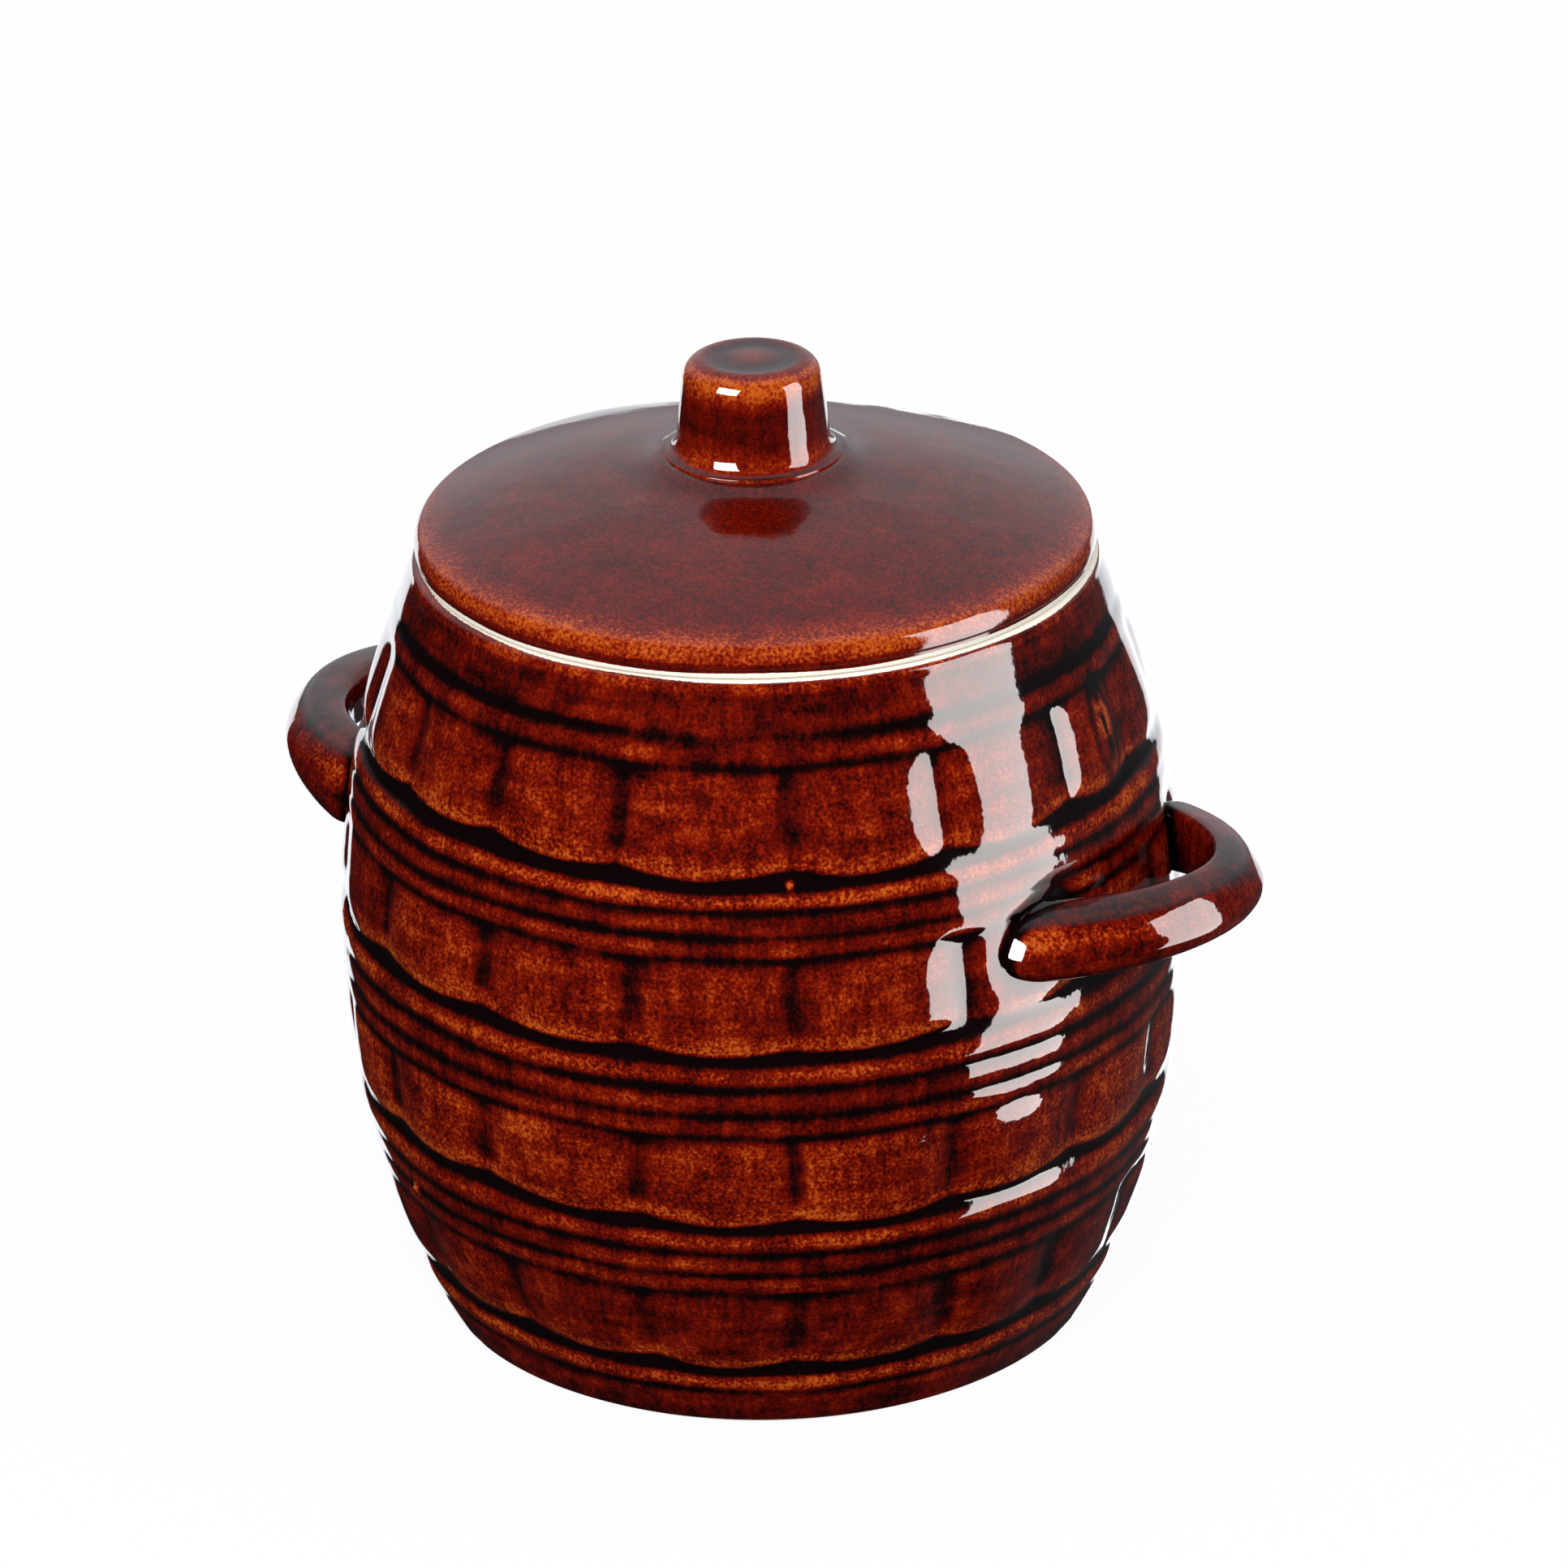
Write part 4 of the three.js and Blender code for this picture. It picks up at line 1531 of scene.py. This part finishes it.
@dataclass
class Studio:
    """Camera, pale floor, white surround and soft boxes."""

    turn: float = 28.0
    distance: float = 1531.6
    rise: float = 24.853
    yaw: float = 0.208
    pitch: float = 24.373
    roll: float = -0.992
    focal: float = 8981.45
    picture: float = 1932.0
    middle: float = 100.0
    white: tuple[float, float, float, float] = (1.0, 1.0, 1.0, 1.0)
    cool: tuple[float, float, float, float] = (0.92, 0.95, 1.0, 1.0)
    lamps: tuple[Lamp, ...] = (
        Lamp("strip_right", 70.0, 5.0, 1.0, 0.56, 1.35, 26.5, Seen.GLOSS, (1.0, 0.93, 0.91)),
        Lamp(
            "key_left", -42.0, 27.0, 1.2, 0.7, 0.65, 42.0, Seen.GLOSS,
            only=("knob_glazed", "handle_right_glazed"),
        ),
        Lamp("fill_front", -14.0, 32.0, 1.6, 1.4, 1.2, 26.5, Seen.MATT),
        Lamp("fill_right", 62.0, 38.0, 1.6, 1.0, 1.2, 4.8, Seen.MATT),
    )

    def camera(self) -> None:
        """Sets the camera from the picture's fit: place, aim and roll, turned about the crock's axis."""
        rise, yaw, pitch, roll = np.radians((self.rise, self.yaw, self.pitch, self.roll)).tolist()
        level = self.middle + self.distance * math.sin(rise)
        place = Vector((0.0, -self.distance * math.cos(rise), level)) * MM
        aim = Vector((math.sin(yaw) * math.cos(pitch), math.cos(yaw) * math.cos(pitch), -math.sin(pitch)))
        right = Vector((math.cos(yaw), -math.sin(yaw), 0.0))
        up = right.cross(aim)
        across = math.cos(roll) * right + math.sin(roll) * up
        upward = math.cos(roll) * up - math.sin(roll) * right
        pose = Matrix((across, upward, -aim)).transposed().to_4x4()
        pose.translation = place
        lens = bpy.data.cameras.new("camera")
        lens.sensor_width = 36.0
        lens.lens = self.focal * lens.sensor_width / self.picture
        lens.clip_end = 20.0
        eye = bpy.data.objects.new("camera", lens)
        eye.matrix_world = Matrix.Rotation(math.radians(self.turn), 4, "Z") @ pose
        add_to_scene(eye)
        bpy.context.scene.camera = eye

    def toward(self, azimuth: float, elevation: float) -> Vector:
        """Direction from the crock: an azimuth to the right of the camera and an elevation, in degrees."""
        turn, lift = math.radians(azimuth + self.turn - 90.0), math.radians(elevation)
        return Vector((math.cos(turn) * math.cos(lift), math.sin(turn) * math.cos(lift), math.sin(lift)))

    def hang(self, lamp: Lamp) -> None:
        """Hangs a lamp so that it faces the crock.

        Args:
            lamp: The lamp to hang.
        """
        light = bpy.data.lights.new(lamp.name, "AREA")
        light.shape = "RECTANGLE"
        light.size, light.size_y = lamp.width, lamp.height
        light.energy = lamp.watts
        light.color = lamp.tint
        box = bpy.data.objects.new(lamp.name, light)
        away = self.toward(lamp.azimuth, lamp.elevation)
        box.location = away * lamp.distance + Vector((0.0, 0.0, self.middle * MM))
        box.rotation_euler = away.to_track_quat("Z", "Y").to_euler()
        box.visible_camera = False
        box.visible_glossy = lamp.seen is Seen.GLOSS
        box.visible_diffuse = lamp.seen is Seen.MATT
        add_to_scene(box)
        if lamp.only:
            box.light_linking.receiver_collection = bpy.data.collections.new(lamp.name)
            for name in lamp.only:
                box.light_linking.receiver_collection.objects.link(bpy.data.objects[name])
        LOG.info("%s hung", lamp.name)

    def surround(self) -> None:
        """Lights the room: white to the camera, even to matt pieces, and to gloss dark in front.

        Gloss sees a band of sky behind the crock, strokes of light low down behind it that lean in on the
        left, a pale ceiling, and a faint glow at the right.
        """
        world = bpy.data.worlds.new("surround")
        world.use_nodes = True
        bpy.context.scene.world = world
        bench = Bench(world.node_tree)
        camera, gloss = (bench.ray_kind(kind) for kind in ("Is Camera Ray", "Is Glossy Ray"))
        ray = bench.node("ShaderNodeTexCoord", {}, {}, "Generated")
        front, side, right = (bench.facing(ray, self.toward(turn, 0.0)) for turn in (0.0, 90.0, 115.0))
        up = bench.node("ShaderNodeSeparateXYZ", {}, {"Vector": ray}, "Z")
        left = bench.maths("MINIMUM", side, 0.0)
        deep = bench.maths("MAXIMUM", -0.36 - up, 0.0)
        back = (0.80, 0.82)
        behind = (0.0 - front).step(*back)
        sky = behind * (0.45 * up.step(0.03, 0.07) + 0.45 * up.step(0.0, 0.75))
        low = (left * (0.1 - 0.6 * deep) - front).step(*back) * (0.0 - up).step(0.12, 0.14)
        strokes = low * (2.2 - 1.4 * (0.0 - side).step(0.0, 0.05) - 3.4 * left)
        ceiling = (up - 0.8 * front).step(0.45, 0.95) * 0.72
        mirrored = bench.maths("MAXIMUM", sky + strokes, ceiling) + 0.08 * right.step(0.3, 0.95) + 0.012
        tint = bench.mixed(gloss, self.white, self.cool)
        strength = camera + (1.0 - camera) * (gloss * mirrored + (1.0 - gloss) * 0.5)
        light = {"Color": tint, "Strength": strength}
        backdrop = bench.node("ShaderNodeBackground", {}, light, "Background")
        bench.node("ShaderNodeOutputWorld", {}, {"Surface": backdrop})

    def floor(self) -> None:
        """Lays a pale floor that keeps the crock's soft shadow and stays out of its gloss."""
        side = 4.0
        corners = [(-side, -side, 0.0), (side, -side, 0.0), (side, side, 0.0), (-side, side, 0.0)]
        mesh = bpy.data.meshes.new("floor")
        mesh.from_pydata(corners, [], [(0, 1, 2, 3)])
        sheet = bpy.data.objects.new("floor", mesh)
        paint, bench = new_material("pale_floor")
        camera = bench.ray_kind("Is Camera Ray")
        pale = bench.mixed(camera, (0.3, 0.3, 0.3, 1.0), (0.92, 0.92, 0.92, 1.0))
        matt = bench.node("ShaderNodeBsdfDiffuse", {}, {"Color": pale}, "BSDF")
        glow = bench.node("ShaderNodeEmission", {}, {"Color": self.white}, "Emission")
        blend = bench.node("ShaderNodeMixShader", {}, {0: camera * 0.95, 1: matt, 2: glow}, "Shader")
        bench.node("ShaderNodeOutputMaterial", {}, {"Surface": blend})
        mesh.materials.append(paint)
        sheet.visible_glossy = False
        add_to_scene(sheet)

    def build(self) -> None:
        """Sets up the whole studio."""
        bpy.context.scene.view_settings.view_transform = "Standard"
        self.camera()
        self.surround()
        self.floor()
        for lamp in self.lamps:
            self.hang(lamp)


def main() -> None:
    """Builds and dresses the crock piece by piece and sets up the studio; each mesh logs its points and
    faces.
    """
    logging.basicConfig(level=logging.INFO, format="%(name)s %(message)s")
    barrel = Barrel()
    right = Handle(
        "handle_right", barrel, False,
        level=108.9, lean=4.0, shift=-1.0, slant=0.9, lift=(1.4, 0.0), half_span=36.3,
        inner=(6.0, 5.2, 7.5), outer=(8.5, 6.0, 8.0), tall=(14.5, 12.3, 16.5),
    )
    left = Handle(
        "handle_left", barrel, True,
        level=114.0, lean=-3.5, shift=0.0, slant=0.6, lift=(0.0, 2.2), half_span=35.0,
        inner=(19.0, 10.8, 4.0), outer=(9.2, 6.6, 8.0), tall=(16.5, 13.4, 19.5), projection=24.0,
    )
    handles = [right, left]
    barrel.dress(barrel.build(handles))
    for part in (*handles, Lid(), Knob()):
        part.dress(part.build())
    Studio().build()


if __name__ == "__main__":
    main()
